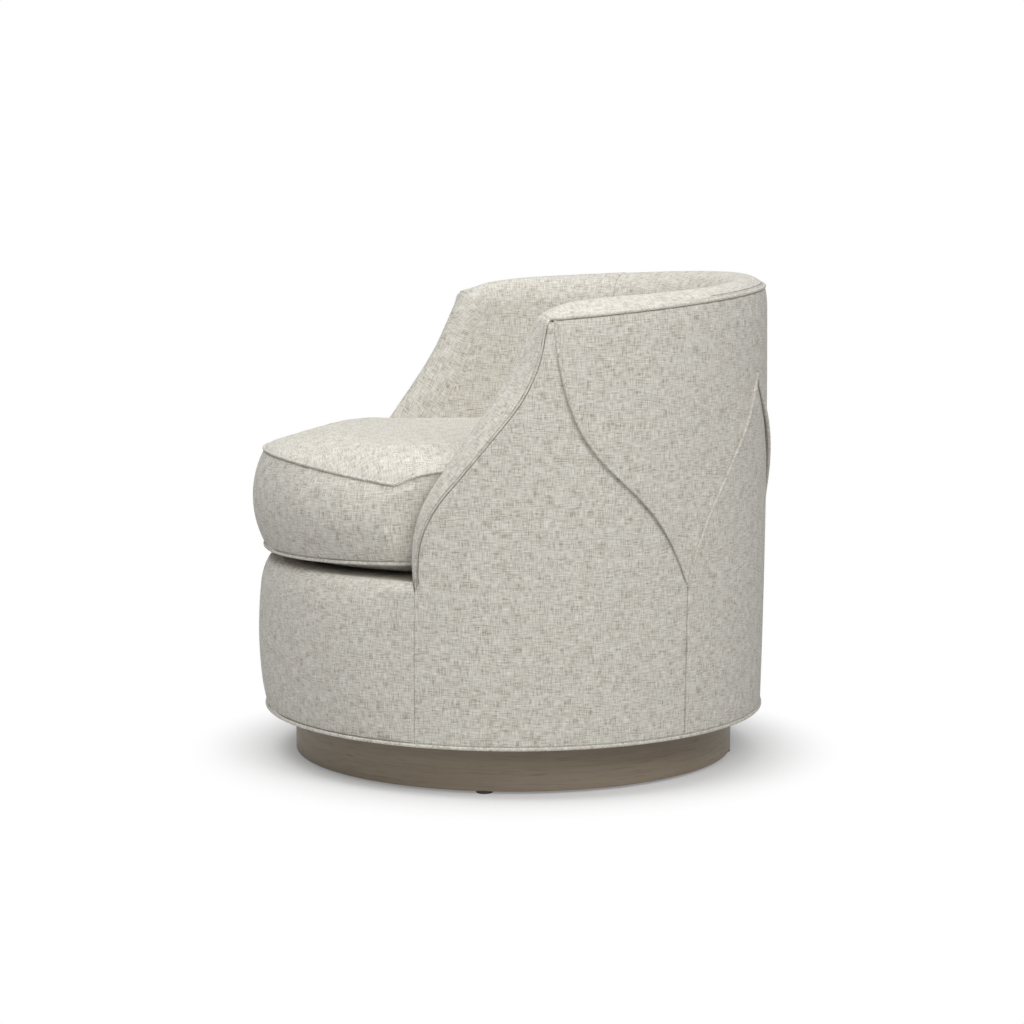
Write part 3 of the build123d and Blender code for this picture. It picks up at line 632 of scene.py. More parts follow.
def panel(node, rows, left_edge, right_edge, rim_share=None):
    """Padded panel from rows of (left angle, left height, right angle, right height)."""
    left_angle, left_height, right_angle, right_height = (column[:, None] for column in rows)
    left = np.concatenate([np.radians(left_angle) * HEM_RADIUS, left_height], 1)
    right = np.concatenate([np.radians(right_angle) * HEM_RADIUS, right_height], 1)
    share = edge_places(np.linalg.norm(right - left, axis=1, keepdims=True))
    angle = left_angle + (right_angle - left_angle) * share
    height = left_height + (right_height - left_height) * share
    if rim_share is not None:
        straight = left_height[-1] + (right_height[-1] - left_height[-1]) * share
        rim = rim_line(angle) - PIPING - RIM_GAP
        height = height + rim_share[:, None] * (rim - straight)
    from_left = share * square_widths(left, right - left)
    from_right = (1 - share) * square_widths(right, right - left)
    swell = left_edge(from_left, height) + right_edge(from_right, height)
    if rim_share is not None:
        for depth, width in RIM_ROLLS:
            swell = swell + roll(rim_line(angle) - PIPING - height, depth, width)
    swell = swell + roll(height - COVER_FOOT, FOOT_ROLL, SEAM_ROLL[1])
    points = around(angle, wall_radius(height) + swell, height)
    cloth = np.stack([np.radians(-angle) * HEM_RADIUS, height], -1)
    padded_cover(node + "_cover", points, node, cloth)


def petal_lift(height, peak):
    """How far an upper petal and its piping lift off the lower one, along the edge."""
    along = np.clip((height - VALLEY) / (peak - VALLEY), 0, 1)
    return PETAL_FLARE * smooth(along / 0.25) * (1 - ramp(along, 0.7, 0.3))


def lapped_edge(peak):
    """Edge of an upper petal that laps over the lower one."""
    def edge(distance, height):
        flare = petal_lift(height, peak) * (1 - smooth(distance / FLARE_WIDTH))
        return flare + roll(distance, *LAP_ROLL)
    return edge


def back_edge(distance, height):
    """Edge of an upper petal at the back: lapped up to the peak, an upright seam over it."""
    lapped = lapped_edge(BACK_PEAK)(distance, height)
    return np.where(height > BACK_PEAK, roll(distance, *UPRIGHT_ROLL), lapped)


def tucked_edge(distance, height):
    """Edge of a lower petal: a plain seam that slips under the upper petal above."""
    under = ramp(height, VALLEY, 12 * MM)
    sunk = -TUCK_DEPTH * (1 - smooth(distance / (3 * TUCK_UNDER)))
    return under * sunk + (1 - under) * roll(distance, *SEAM_ROLL)


def side_front(distance, height):
    """Front edge of a side panel: a flat seam at the apron, a rolled one along the arm."""
    arm = ramp(height, ARM_START, 8 * MM)
    tail = ramp(height, 215 * MM, 50 * MM) * (1 - arm)
    deep, place, width = GROOVE
    groove = deep * tail * np.exp(-((distance - place) / width) ** 2)
    depth = arm * (0.3 + 0.7 * ramp(height, 335 * MM, 70 * MM))
    return roll(distance, *FLAT_ROLL) * (1 - arm) + roll(distance, *SEAM_ROLL) * depth - groove


def tuck_turn(height):
    """Angle by which a lower petal reaches under the upper one."""
    return np.degrees((TUCK_UNDER * ramp(height, VALLEY, 40 * MM) - SEAM_GAP) / HEM_RADIUS)


def arm_line():
    """Points of the arm seam from the deck up, in (y, z)."""
    place = np.array((-ARM_FRONT, ARM_FOOT))
    heading = pi / 2
    points = [place]
    for length, turn in ARM_BENDS:
        steps = max(2, int(abs(turn) / 5), int(length / (9 * MM)))
        for _ in range(steps):
            heading += radians(turn) / steps / 2
            place = place + np.array((cos(heading), sin(heading))) * length / steps
            heading += radians(turn) / steps / 2
            points.append(place)
    points = np.array(points)
    points[:, 0] += FOOT_SHIFT * (1 - ramp(points[:, 1], 310 * MM, 80 * MM))
    return points


def panel_heights(top, count):
    """Heights of the rows of a lower panel, closer together over the hem."""
    foot = COVER_FOOT + np.array((0, 1.5, 4, 8)) * MM
    return np.concatenate([foot, np.linspace(COVER_FOOT + 15 * MM, top, count)])


def petal_panels():
    """All panels of the outer back and sides."""
    arm = arm_line()
    arm = arm[arm[:, 1] > DECK_TOP - 5 * MM]
    arm_heights = np.concatenate([[COVER_FOOT, ARM_START], arm[:, 1]])
    arm_depths = np.concatenate([[-APRON_END, -APRON_END], arm[:, 0]])
    arm_height, arm_angle = ogee(PETAL_TIP, ARM_TURN, ARM_PEAK)
    back_height, back_angle = ogee(PETAL_TIP, BACK_TURN, BACK_PEAK)
    centre_height, centre_angle = ogee(0, BACK_TURN, BACK_PEAK)

    heights = panel_heights(ARM_PEAK - 3 * MM, 90)
    depth = np.interp(heights, arm_heights, arm_depths)
    front = np.degrees(np.arccos(depth / wall_radius(heights)))
    rear = np.interp(heights, arm_height, arm_angle) - tuck_turn(heights)
    side_rows = (front, heights, np.minimum(rear, front - 0.25), heights)

    heights = panel_heights(BACK_PEAK + 8 * MM, 80)
    tuck = tuck_turn(heights)
    front = np.interp(heights, back_height, back_angle) + tuck
    rear = np.interp(heights, centre_height, centre_angle) - tuck
    back_rows = (front, heights, rear, heights)

    near_rim = (0.972, 0.982, 0.989, 0.9935, 0.9965, 0.9985, 1.0)
    climb = np.concatenate([np.linspace(0.004, 0.96, 80), near_rim])
    seam_top = rim_line(BACK_TURN) - PIPING - RIM_GAP
    front_height = VALLEY + climb * (ARM_PEAK - 2 * MM - VALLEY)
    rear_height = VALLEY + climb * (seam_top - VALLEY)
    front = np.interp(front_height, arm_height, arm_angle)
    gap = np.degrees(UPRIGHT_GAP / HEM_RADIUS) * ramp(rear_height, BACK_PEAK, 20 * MM)
    rear = np.interp(rear_height, back_height, back_angle) + gap
    quarter_rows = (front, front_height, rear, rear_height)
    edge = np.interp(rear_height, centre_height, centre_angle) - gap
    centre_rows = (edge, rear_height, -edge, rear_height)
    rim_share = ramp(climb, 0.6, 0.4)

    panel("centre_panel", centre_rows, back_edge, back_edge, rim_share)
    for side in ("left", "right"):
        for name, rows, front_edge, rear_edge, share in (
            ("side_panel", side_rows, side_front, tucked_edge, None),
            ("back_panel", back_rows, tucked_edge, tucked_edge, None),
            ("quarter_panel", quarter_rows, lapped_edge(ARM_PEAK), back_edge, rim_share),
        ):
            if side == "right":
                rows = (-rows[2], rows[3], -rows[0], rows[1])
                front_edge, rear_edge = rear_edge, front_edge
            panel(f"{name}_{side}", rows, front_edge, rear_edge, share)


# Padded rim, arms and inside back

def well_depth(angle, radius):
    """Distance from the outer seam to the inside wall, straight towards the axis."""
    turn = radians(angle)
    along = WELL_CENTRE * cos(turn)
    reach = along + (along ** 2 - WELL_CENTRE ** 2 + WELL_HALF ** 2) ** 0.5
    if reach * cos(turn) < WELL_CENTRE:
        return radius - WELL_HALF / max(abs(sin(turn)), 1e-6)
    return radius - reach


def pad_section(width, crown, crest, lip):
    """Across and up places of the padded rim, from under its outer seam to the inside wall."""
    edge = np.array(((7, 0.1), (4, 0.2), (1.8, 0.35), (0.9, 0.6), (0.7, 0.95), (0.9, 1.35))) * MM
    hidden = np.array(((0, 0), (0.3, 0.5), (0.6, 1.0), (0.9, 1.4), (1.2, 1.8), (1.4, 2.1))) * MM
    edge = edge + (hidden - edge) * (lip - ARM_LIP) / (RIM_LIP - ARM_LIP)
    near = np.array((1.6, 2.6, 4.0)) * MM / crest
    share = np.concatenate([near, np.linspace(0.14, 1, 10)[:-1]])
    outer = np.stack([crest * share, lip + (crown - lip) * (1 - (1 - share) ** 1.7)], -1)
    fall = np.linspace(0, pi / 2, 15)
    inner_across = crest + (width - crest) * np.sin(fall) ** (2 / 2.3)
    inner_up = -RIM_DROP + (crown + RIM_DROP) * np.cos(fall)
    return np.concatenate([edge, outer, np.stack([inner_across, inner_up], -1)])


def pad_column(seam, edge_shift, inward, up, edge_up, section, wall_rows=30):
    """One line over the pad: out of the seam, over the crown and down the inside wall."""
    share = np.clip(section[:, :1] / section[-1, 0], 0, 1)
    lift = up + (edge_up - up) * share
    top = seam + edge_shift * share + section[:, :1] * inward + section[:, 1:] * lift
    edge = top[-1]
    foot = np.array((edge[0], edge[1], min(DECK_TOP, edge[2]) - 3 * MM))
    down = np.linspace(0, 1, wall_rows + 1)[1:, None]
    wall = edge + (foot - edge) * down
    puff = WALL_PUFF * np.sin(pi * np.clip(down / 0.75, 0, 1))
    return np.concatenate([top, wall + inward * puff * min(1.0, (edge[2] - foot[2]) / 0.2)])


def pad_cloth(columns, band):
    """Cloth coordinates of pad columns: of the upright wall, and of the band over the top."""
    def along(line):
        return np.broadcast_to(run_lengths(line, 0)[:, None], columns.shape[:2])
    wall = np.stack([along(columns[:, -1, :2]), columns[..., 2]], -1)
    strip = np.stack([along(columns[:, band // 2]), -run_lengths(columns, 1)], -1)
    return wall, strip + np.array((0.7, 0.4))  # away from the wall's part of the cloth


def rim_columns():
    """Pad columns along the rim at the back, and how many points of each lie on its band."""
    near = np.array((0, 0.05, 0.12, 0.22, 0.36, 0.6, 1.2, 2.2))
    angles = np.concatenate([PAD_SEAM - near, np.linspace(PAD_SEAM - 3.5, 3.5 - PAD_SEAM, 70),
                             near[::-1] - PAD_SEAM])
    up = np.array((0, -sin(RIM_TILT), cos(RIM_TILT)))
    columns = []
    for angle in angles:
        seam = around(angle, RIM_PAD, rim_line(angle))
        width = well_depth(angle, RIM_PAD)
        section = pad_section(width, RIM_CROWN, RIM_CREST * width, RIM_LIP)
        columns.append(pad_column(seam, 0.0, around(angle, -1.0, 0.0), up, up, section))
    return np.array(columns), len(section)


def pad_path():
    """Points of the left arm and rim seam in (y, z), from the deck to the seam in the rim."""
    points = arm_line()
    end = np.array((RIM_RADIUS * cos(radians(PAD_SEAM)), rim_line(PAD_SEAM)))
    near_seam = (0.97, 0.98, 0.987, 0.992, 0.995, 0.9975, 0.999, 1.0)
    share = np.concatenate([np.linspace(0, 0.955, 38)[1:], near_seam])
    return np.concatenate([points, points[-1] + (end - points[-1]) * share[:, None]])


def eased(path, spread):
    """Path with its corners eased and its ends kept."""
    lengths = run_lengths(path, 0)
    weights = np.gradient(lengths)
    made = []
    for place in lengths:
        reach = max(min(spread, place / 3, (lengths[-1] - place) / 3), 1e-6)
        share = weights * np.exp(-((lengths - place) / reach) ** 2 / 2)
        made.append((share[:, None] * path).sum(0) / share.sum())
    return np.array(made)


def upward(path):
    """Directions square to a path in (y, z), to its upper side."""
    ahead = unit(np.gradient(path, run_lengths(path, 0), axis=0))
    return np.stack([np.zeros(len(path)), -ahead[:, 1], ahead[:, 0]], -1)


def arm_columns():
    """Pad columns from the foot of the left arm over its corner and along the rim."""
    path = pad_path()
    soft = eased(path, CORNER_EASE)
    ups, soft_ups = upward(path), upward(soft)
    lengths = run_lengths(path, 0)
    crowns = smooth_through(lengths, CROWNS[:, 0], CROWNS[:, 1])
    on_rim = ramp(lengths, 375 * MM, 90 * MM)
    crests = ARM_CREST + (RIM_CREST - ARM_CREST) * ramp(lengths, 500 * MM, 240 * MM)
    lips = ARM_LIP + (RIM_LIP - ARM_LIP) * on_rim
    columns = []
    for index, (y, z) in enumerate(path):
        radius = wall_radius(z) - ARM_INSET
        radius = radius + on_rim[index] * (RIM_PAD - radius)
        x = (radius ** 2 - y ** 2) ** 0.5
        if y < 0:
            inward, width = np.array((-1.0, 0.0, 0.0)), x - WELL_HALF
        else:
            angle = np.degrees(np.arctan2(x, y))
            inward, width = around(angle, -1.0, 0.0), well_depth(angle, radius)
        section = pad_section(width, crowns[index], crests[index] * width, lips[index])
        shift = np.array((0, soft[index, 0] - y, soft[index, 1] - z))
        columns.append(pad_column(np.array((x, y, z)), shift, inward, ups[index],
                                  soft_ups[index], section))
    return np.array(columns), len(section)


def inside_pads():
    """Inside back and both inside arms with their rolled seams."""
    corner = len(arm_line()) - CORNER_STEPS
    for name, (columns, band), seams in (
        ("inside_arm_left", arm_columns(), (-1,)), ("inside_back", rim_columns(), (0, -1)),
    ):
        wall, strip = (cloth.transpose(1, 0, 2)[::-1] for cloth in pad_cloth(columns, band))
        points = columns.transpose(1, 0, 2)[::-1]
        band_row = len(points) - band
        lengths = run_lengths(points, 1)
        sink = np.zeros(points.shape[:2])
        for seam in seams:
            sink = np.minimum(sink, roll(np.abs(lengths - lengths[:, seam][:, None]), *PAD_ROLL))
        if name == "inside_arm_left":
            crease = np.abs(lengths - lengths[:, corner][:, None])
            on_band = ramp(np.arange(len(points)), band_row + 4, 8)[:, None]
            sink = sink - 1.5 * MM * on_band * np.exp(-(crease / (1.5 * MM)) ** 2)
        points = points - grid_normals(points) * sink[..., None]
        points, wall, strip = (grid[:, ::-1] for grid in (points, wall, strip))
        padded_cover(name + "_pad", points, name, wall, PAD_COVER, (band_row, strip))
        if name == "inside_arm_left":
            other = points[:, ::-1] * np.array((-1, 1, 1))
            wall, strip = (cloth[:, ::-1] * np.array((-1, 1)) + 1.3 for cloth in (wall, strip))
            padded_cover("inside_arm_right_pad", other, "inside_arm_right", wall, PAD_COVER,
                         (band_row, strip))


# Apron, deck and dust cover

def front_apron():
    """Padded apron under the front edge of the seat."""
    fine = np.linspace(0, 1, 80)
    along = run_lengths(APRON_PROFILE, 0)
    along /= along[-1]
    bows = smooth_through(fine, along, APRON_PROFILE[:, 0])
    heights = smooth_through(fine, along, APRON_PROFILE[:, 1])
    plain = wall_radius(heights) + np.minimum(bows, 0) * ramp(heights, 297 * MM, 14 * MM)
    seam = np.arccos(-APRON_END / plain)
    ends = np.array((0, 0.2, 0.6, 1.2, 2.1, 3.5, 5, 8, 12, 17, 24)) * MM / HEM_RADIUS
    half = np.concatenate([ends, np.linspace(ends[-1], pi - seam[0], 40)[1:]]) / (pi - seam[0])
    shares = np.concatenate([half, 2 - half[-2::-1]])
    turns = seam[:, None] + (pi - seam)[:, None] * shares
    inside = np.minimum(turns - seam[:, None], 2 * pi - seam[:, None] - turns) * HEM_RADIUS
    bow = smooth(inside / APRON_BOW)
    radii = plain[:, None] + bow * (HEM_RADIUS + bows - plain)[:, None]
    radii = radii + roll(inside, *APRON_ROLL)
    radii = radii + roll(heights - COVER_FOOT, FOOT_ROLL, SEAM_ROLL[1])[:, None]
    points = around(np.degrees(turns), radii, heights[:, None])[:, ::-1]
    up_cloth = run_lengths(np.stack([HEM_RADIUS + bows, heights], -1), 0)[:, None]
    cloth = np.stack(np.broadcast_arrays(-turns * HEM_RADIUS, up_cloth), -1)[:, ::-1]
    padded_cover("front_apron_cover", points, "front_apron", cloth)


def seat_deck():
    """Padded deck under the cushion."""
    front, back, columns = deck_low.y, deck_high.y, 50
    rows = []
    for y in np.linspace(front + 1 * MM, back - 1 * MM, 70):
        if y > WELL_CENTRE:
            half = (WELL_HALF ** 2 - (y - WELL_CENTRE) ** 2) ** 0.5
        else:
            half = min(WELL_HALF, (front ** 2 - y ** 2) ** 0.5)
        x = np.linspace(-half, half, columns)
        margin = np.minimum(half - np.abs(x), np.minimum(y - front, back - y))
        rows.append(np.stack([x, np.full(columns, y), DECK_TOP + roll(margin, *DECK_ROLL)], -1))
    padded_cover("seat_deck_pad", np.array(rows), "seat_deck", thickness=DECK_COVER,
                 material=deck_cloth)


def dust_cover():
    """Thin black cloth stretched under the body."""
    low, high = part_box("dust_cover")
    outer, rings, turns = high.x, 12, 96
    angles = np.linspace(0, 360, turns, endpoint=False)
    grid = np.array([around(angles, radius, low.z + 0.3 * MM)
                     for radius in np.linspace(DUST_HOLE, outer, rings)])
    row, col = grid_cells(rings, turns, wrap_cols=True)
    faces = (row * turns + col % turns)[:, ::-1]
    piece = new_piece("dust_cover_cloth", grid, faces.tolist())
    finish_piece(piece, grid[..., :2].reshape(-1, 2)[faces], dust_cloth, ["dust_cover"])


# Loose cushion

def cushion_outline(count=240):
    """Points round the cushion seams in plan, evenly spaced, starting at the centre front."""
    bow = CUSHION_REACH - CORNER_BACK
    radius = (CUSHION_SIDE ** 2 + bow ** 2) / (2 * bow)
    centre = -CUSHION_REACH + radius
    arc = np.linspace(0, asin(CUSHION_SIDE / radius), 80)
    front = np.stack([radius * np.sin(arc), centre - radius * np.cos(arc)], -1)
    side = np.stack([np.full(80, CUSHION_SIDE), np.linspace(-CORNER_BACK, WELL_CENTRE, 80)], -1)
    arc = np.linspace(0, pi / 2, 80)
    back = np.stack([CUSHION_SIDE * np.cos(arc), WELL_CENTRE + CUSHION_SIDE * np.sin(arc)], -1)
    half = np.concatenate([front, side[1:], back[1:]])
    line = np.concatenate([half, half[-2:0:-1] * np.array((-1, 1))])
    loop = np.concatenate([line, line[:1]])
    length = run_lengths(loop, 0)
    even = np.linspace(0, length[-1], count, endpoint=False)
    return np.stack([np.interp(even, length, loop[:, axis]) for axis in (0, 1)], -1)


def seam_heights(outline):
    """Heights of the lower and upper seam round the cushion, drooping at the front corners."""
    behind = np.maximum(outline[:, 1] + CORNER_BACK, 0)
    across = np.abs(outline[:, 0]) / CUSHION_SIDE
    sides = SIDE_RISE * (1 - np.exp(-behind / (30 * MM)))
    front = CORNER_DROOP * (1 - across ** 2.6)
    upper = HIGH_SEAM - CORNER_DROOP + np.where(behind > 0, sides, front)
    lower = LOW_SEAM + np.where(behind > 0, LOW_RISE, LOW_RISE * across ** 2)
    return lower, upper


def boxing_ways(outline):
    """Outward directions round the cushion, and how free of the arms it is there."""
    ahead = np.roll(outline, -1, axis=0) - np.roll(outline, 1, axis=0)
    outward = unit(np.stack([ahead[:, 1], -ahead[:, 0]], -1))
    return outward, smooth(-outline[:, 1] / CORNER_BACK - 0.35)


def cushion_start(outline, lower, upper):
    """Rings of the cushion before its filling swells it."""
    centre = np.array((0.0, -CUSHION_MIDDLE))
    outward, fullness = boxing_ways(outline)
    rings = []
    for share, lift in BOTTOM_RINGS:
        height = DECK_TOP + 1 * MM + (lower - DECK_TOP) * lift
        rings.append((centre + (outline - centre) * share, height))
    for step in np.linspace(0, 1, 13):
        swell = sin(pi * step) ** 0.8
        out = swell * (SIDE_BOW + BOXING_BOW * fullness) - BOXING_INSET
        rings.append((outline + outward * out[:, None], lower + (upper - lower) * step))
    for share in TOP_RINGS:
        dome = CROWN_TOP + CROWN_DOME * (1 - share ** 2)
        dome = dome - (CROWN_TOP - upper) * share ** CROWN_EDGE
        rings.append((centre + (outline - centre) * share, dome))
    return [np.concatenate([plan, height[:, None]], 1) for plan, height in rings]


def apply_modifiers(piece):
    """Replace a piece's mesh by what its modifiers make of it."""
    graph = bpy.context.evaluated_depsgraph_get()
    made = bpy.data.meshes.new_from_object(piece.evaluated_get(graph))
    piece.modifiers.clear()
    old = piece.data
    piece.data = made
    bpy.data.meshes.remove(old)


def even_mesh(piece, cell):
    """Remake a mesh with cells of one size."""
    remesh = piece.modifiers.new("even mesh", "REMESH")
    remesh.mode = "VOXEL"
    remesh.voxel_size = cell
    apply_modifiers(piece)


def vertex_array(piece):
    """Points of a mesh piece."""
    values = np.empty(len(piece.data.vertices) * 3, dtype=np.float32)
    piece.data.vertices.foreach_get("co", values)
    return values.reshape(-1, 3).astype(float)


def set_vertices(piece, points):
    """Put the points of a mesh piece in their places."""
    piece.data.vertices.foreach_set("co", points.astype(np.float32).ravel())
    piece.data.update()


def seam_ribbons(seams):
    """Narrow bands round the seam lines, for measuring distances to them."""
    points, faces = [], []
    for seam in seams:
        start, count = len(points), len(seam)
        points.extend(tuple(p) for p in np.concatenate([seam, seam + (0, 0, 0.1 * MM)]))
        for here in range(start, start + count):
            ahead = start + (here - start + 1) % count
            faces.append((here, ahead, ahead + count, here + count))
    return BVHTree.FromPolygons(points, faces, all_triangles=False)


def swell_cushion(piece, seams):
    """Fill the cushion by a cloth simulation that holds its two seams and its underside."""
    points = vertex_array(piece)
    ribbons = seam_ribbons(seams)
    held = [index for index, point in enumerate(points)
            if ribbons.find_nearest(Vector(point), SEAM_HOLD)[0] is not None
            or point[2] < DECK_TOP + 4 * MM]
    piece.vertex_groups.new(name="held").add(held, 1.0, "REPLACE")
    cloth = piece.modifiers.new("filling", "CLOTH")
    for key, value in FILLING.items():
        setattr(cloth.settings, key, value)
    cloth.settings.effector_weights.gravity = 0
    cloth.collision_settings.use_collision = False
    cloth.point_cache.frame_start = 1
    cloth.point_cache.frame_end = FILLING_STEPS
    scene = bpy.context.scene
    for step in range(1, FILLING_STEPS + 1):
        scene.frame_set(step)
    apply_modifiers(piece)
    scene.frame_set(1)
    moved = vertex_array(piece) - points
    reach = np.linalg.norm(moved, axis=1, keepdims=True)
    cap = np.where(points[:, 2:] < LOW_SEAM, LOW_SWELL_LIMIT, SWELL_LIMIT)
    set_vertices(piece, points + moved * np.minimum(1.0, cap / np.maximum(reach, 1e-9)))


def fit_in_well(points):
    """Keep the cushion clear of the arms, the inside back and the deck."""
    room = WELL_HALF - CUSHION_CLEAR
    points[:, 0] = np.clip(points[:, 0], -room, room)
    behind = points[:, 1] - WELL_CENTRE
    radius = np.hypot(points[:, 0], behind)
    pull = np.where((behind > 0) & (radius > room), room / np.maximum(radius, 1e-9), 1.0)
    points[:, 0] *= pull
    points[:, 1] = np.where(behind > 0, WELL_CENTRE + behind * pull, points[:, 1])
    points[:, 2] = np.maximum(points[:, 2], DECK_TOP + 0.5 * MM)
    return points


def from_middle(plan):
    """Directions and distances of points in plan from the middle of the cushion."""
    ahead = plan[:, 1] + CUSHION_MIDDLE
    return np.arctan2(plan[:, 0], -ahead), np.hypot(plan[:, 0], ahead)


def cushion_cloth(mesh, points, outline, lower, upper):
    """Cloth coordinates: top and bottom by plan, the boxing by its way round and height."""
    lengths = run_lengths(np.concatenate([outline, outline[:1]]), 0)
    whole, lengths = lengths[-1], lengths[:-1]
    signed = np.where(lengths > whole / 2, lengths - whole, lengths)
    keys, edges = from_middle(outline)
    order = np.argsort(keys)
    place, distance = from_middle(points)
    low_here, high_here, along, edge = (
        np.interp(place, keys[order], values[order]) for values in (lower, upper, signed, edges))
    inside = distance < edge - 12 * MM
    boxing = (points[:, 2] < high_here) & (points[:, 2] > low_here) & ~inside
    corner_vertex = np.empty(len(mesh.loops), dtype=np.int32)
    mesh.loops.foreach_get("vertex_index", corner_vertex)
    sizes = np.empty(len(mesh.polygons), dtype=np.int32)
    mesh.polygons.foreach_get("loop_total", sizes)
    face_of_corner = np.repeat(np.arange(len(sizes)), sizes)
    share = np.bincount(face_of_corner, boxing[corner_vertex]) / sizes
    on_boxing = (share > 0.5)[face_of_corner]
    here = along[corner_vertex]
    middle = (np.bincount(face_of_corner, here) / sizes)[face_of_corner]
    here = np.where(np.abs(here - middle) > 0.5, middle, here)  # faces where the way round ends
    boxed = np.stack([here, points[corner_vertex][:, 2]], -1)
    return np.where(on_boxing[:, None], boxed, points[corner_vertex][:, :2])


def seat_cushion():
    """Loose cushion with its swollen cover and two rows of piping."""
    outline = cushion_outline()
    lower, upper = seam_heights(outline)
    seams = [np.concatenate([outline, z[:, None]], 1) for z in (lower, upper)]
    rings = cushion_start(outline, lower, upper)
    rows, cols = len(rings), len(outline)
    row, col = grid_cells(rows, cols, wrap_cols=True)
    faces = (row * cols + col % cols).tolist()
    faces.append(list(range(cols - 1, -1, -1)))
    faces.append([(rows - 1) * cols + index for index in range(cols)])
    piece = new_piece("seat_cushion", np.concatenate(rings), faces)
    even_mesh(piece, CUSHION_CELL)
    swell_cushion(piece, seams)
    finer = piece.modifiers.new("finer", "SUBSURF")
    finer.levels = finer.render_levels = 1
    apply_modifiers(piece)
    set_vertices(piece, fit_in_well(vertex_array(piece)))
    cloth = cushion_cloth(piece.data, vertex_array(piece), outline, lower, upper)
    finish_piece(piece, cloth, linen, ["cushion_cover", "cushion_core"], "cushion")
    outward, fullness = boxing_ways(outline)
    seams[0][:, :2] += 0.3 * MM * fullness[:, None] * outward
    for name, seam in zip(("lower", "upper"), seams):
        piping(f"cushion_piping_{name}", seam, "cushion_piping", CUSHION_PIPING, "cushion",
               closed=True)


def body_piping():
    """Piping of the hem, of the rim and along the edges of the upper petals."""
    turns = np.linspace(0, 360, 240, endpoint=False)
    hem = around(turns, HEM_RADIUS + 0.5 * MM, COVER_FOOT - PIPING + 0.8 * MM)
    piping("hem_piping_cord", hem, "hem_piping", closed=True)
    end = RIM_END - np.array((0, 0.2, 0.4, 0.6, 0.8, 1.1, 1.5))
    turns = np.concatenate([end, np.linspace(90.8, -90.8, 230), -end[::-1]])
    radii = RIM_RADIUS - RIM_SINK * (1 - smooth((RIM_END - np.abs(turns)) / SINK_TURN))
    piping("rim_piping_cord", around(turns, radii, rim_line(turns)), "rim_piping")
    for name, node, tip_turn, peak_turn, peak in (
        ("quarter_front", "quarter_panel", PETAL_TIP, ARM_TURN, ARM_PEAK),
        ("quarter_back", "quarter_panel", PETAL_TIP, BACK_TURN, BACK_PEAK),
        ("centre", "centre_panel", 0, BACK_TURN, BACK_PEAK),
    ):
        heights, angles = ogee(tip_turn, peak_turn, peak)
        along = (heights - VALLEY) / (peak - VALLEY)
        sunk = 1 - smooth(along / 0.02)
        if peak > BACK_PEAK:
            sunk = sunk + 0.9 * ramp(along, 0.55, 0.45)
        radii = wall_radius(heights) + petal_lift(heights, peak)
        radii = radii + PIPING_PROUD - PIPING_SINK * sunk
        for side, sign in (("left", 1), ("right", -1)):
            path = around(sign * angles, radii, heights)
            target = node if node == "centre_panel" else f"{node}_{side}"
            piping(f"{name}_piping_{side}", path, target)


# Studio

def seen_rays(tree, *kinds):
    """1 for camera rays, glossy rays and the other kinds that are named, or else 0."""
    rays = add_node(tree, "LightPath").outputs
    seen = calculate(tree, "MAXIMUM", rays["Is Camera Ray"], rays["Is Glossy Ray"])
    for kind in kinds:
        seen = calculate(tree, "MAXIMUM", seen, rays[kind])
    return seen


def join_shaders(tree, share, first, second, output):
    """Mix two shaders into an output."""
    mixed = add_node(tree, "MixShader", {
        0: share, 1: first.outputs[0], 2: second.outputs[0]})
    add_node(tree, output, {0: mixed.outputs[0]})


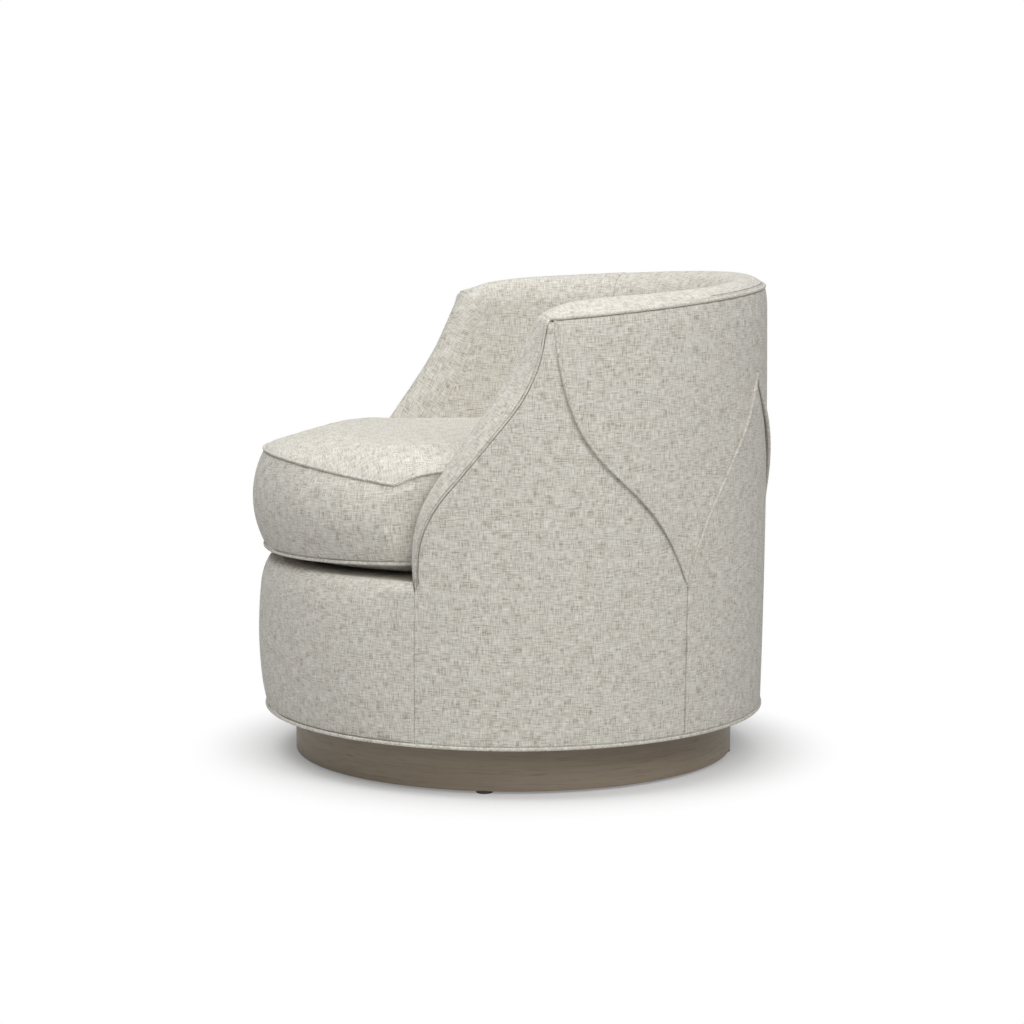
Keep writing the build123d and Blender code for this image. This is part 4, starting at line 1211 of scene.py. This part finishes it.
def studio_floor():
    """Pale floor that runs out to white."""
    corners = [(x * FLOOR_HALF, y * FLOOR_HALF, 0) for x, y in ((-1, -1), (1, -1), (1, 1), (-1, 1))]
    floor = new_piece("studio_floor", corners, [(0, 1, 2, 3)])
    material = bpy.data.materials.new("pale floor")
    tree = empty_tree(material)
    paint = add_node(tree, "BsdfDiffuse", {"Color": FLOOR_GREY})
    glow = add_node(tree, "Emission", {"Color": WHITE, "Strength": 1.0})
    place = add_node(tree, "TexCoord").outputs["Object"]
    reach = add_node(tree, "VectorMath", {0: place}, operation="LENGTH").outputs["Value"]
    away = window(tree, reach, *FLOOR_FADE)
    white = calculate(tree, "MULTIPLY_ADD", away, 1 - FLOOR_GLOW, FLOOR_GLOW)
    share = calculate(tree, "MULTIPLY", white, seen_rays(tree))
    join_shaders(tree, share, paint, glow, "OutputMaterial")
    floor.data.materials.append(material)


def studio_lights():
    """White surroundings with a faint fill, and the softboxes."""
    world = bpy.data.worlds.new("studio")
    bpy.context.scene.world = world
    tree = empty_tree(world)
    fill, white = (add_node(tree, "Background", {"Color": WHITE, "Strength": strength})
                   for strength in (WORLD_FILL, 1.0))
    join_shaders(tree, seen_rays(tree, "Is Transmission Ray"), fill, white, "OutputWorld")
    for name, place, width, power in SOFTBOXES:
        lamp = bpy.data.lights.new(name, "AREA")
        lamp.shape = "SQUARE"
        lamp.size = width
        lamp.energy = power
        holder = in_scene(name, lamp)
        holder.location = place
        towards = LIGHT_AIM - Vector(place)
        holder.rotation_euler = towards.to_track_quat("-Z", "Y").to_euler()


def photo_camera():
    """Camera of the photograph."""
    camera = bpy.data.cameras.new("photo_camera")
    camera.lens = CAMERA_LENS
    camera.sensor_width = 36
    camera.clip_end = 100
    holder = in_scene("photo_camera", camera)
    towards = Vector((sin(CAMERA_TURN), -cos(CAMERA_TURN), 0))
    right = Vector((cos(CAMERA_TURN), sin(CAMERA_TURN), 0))
    holder.location = towards * CAMERA_REACH + right * CAMERA_SHIFT + Vector((0, 0, CAMERA_HEIGHT))
    aim = -towards * cos(CAMERA_DIP) - Vector((0, 0, sin(CAMERA_DIP)))
    holder.rotation_euler = aim.to_track_quat("-Z", "Y").to_euler()
    bpy.context.scene.camera = holder
    bpy.context.scene.view_settings.view_transform = "Standard"


dress_frame()
petal_panels()
inside_pads()
front_apron()
seat_deck()
dust_cover()
seat_cushion()
body_piping()
studio_floor()
studio_lights()
photo_camera()
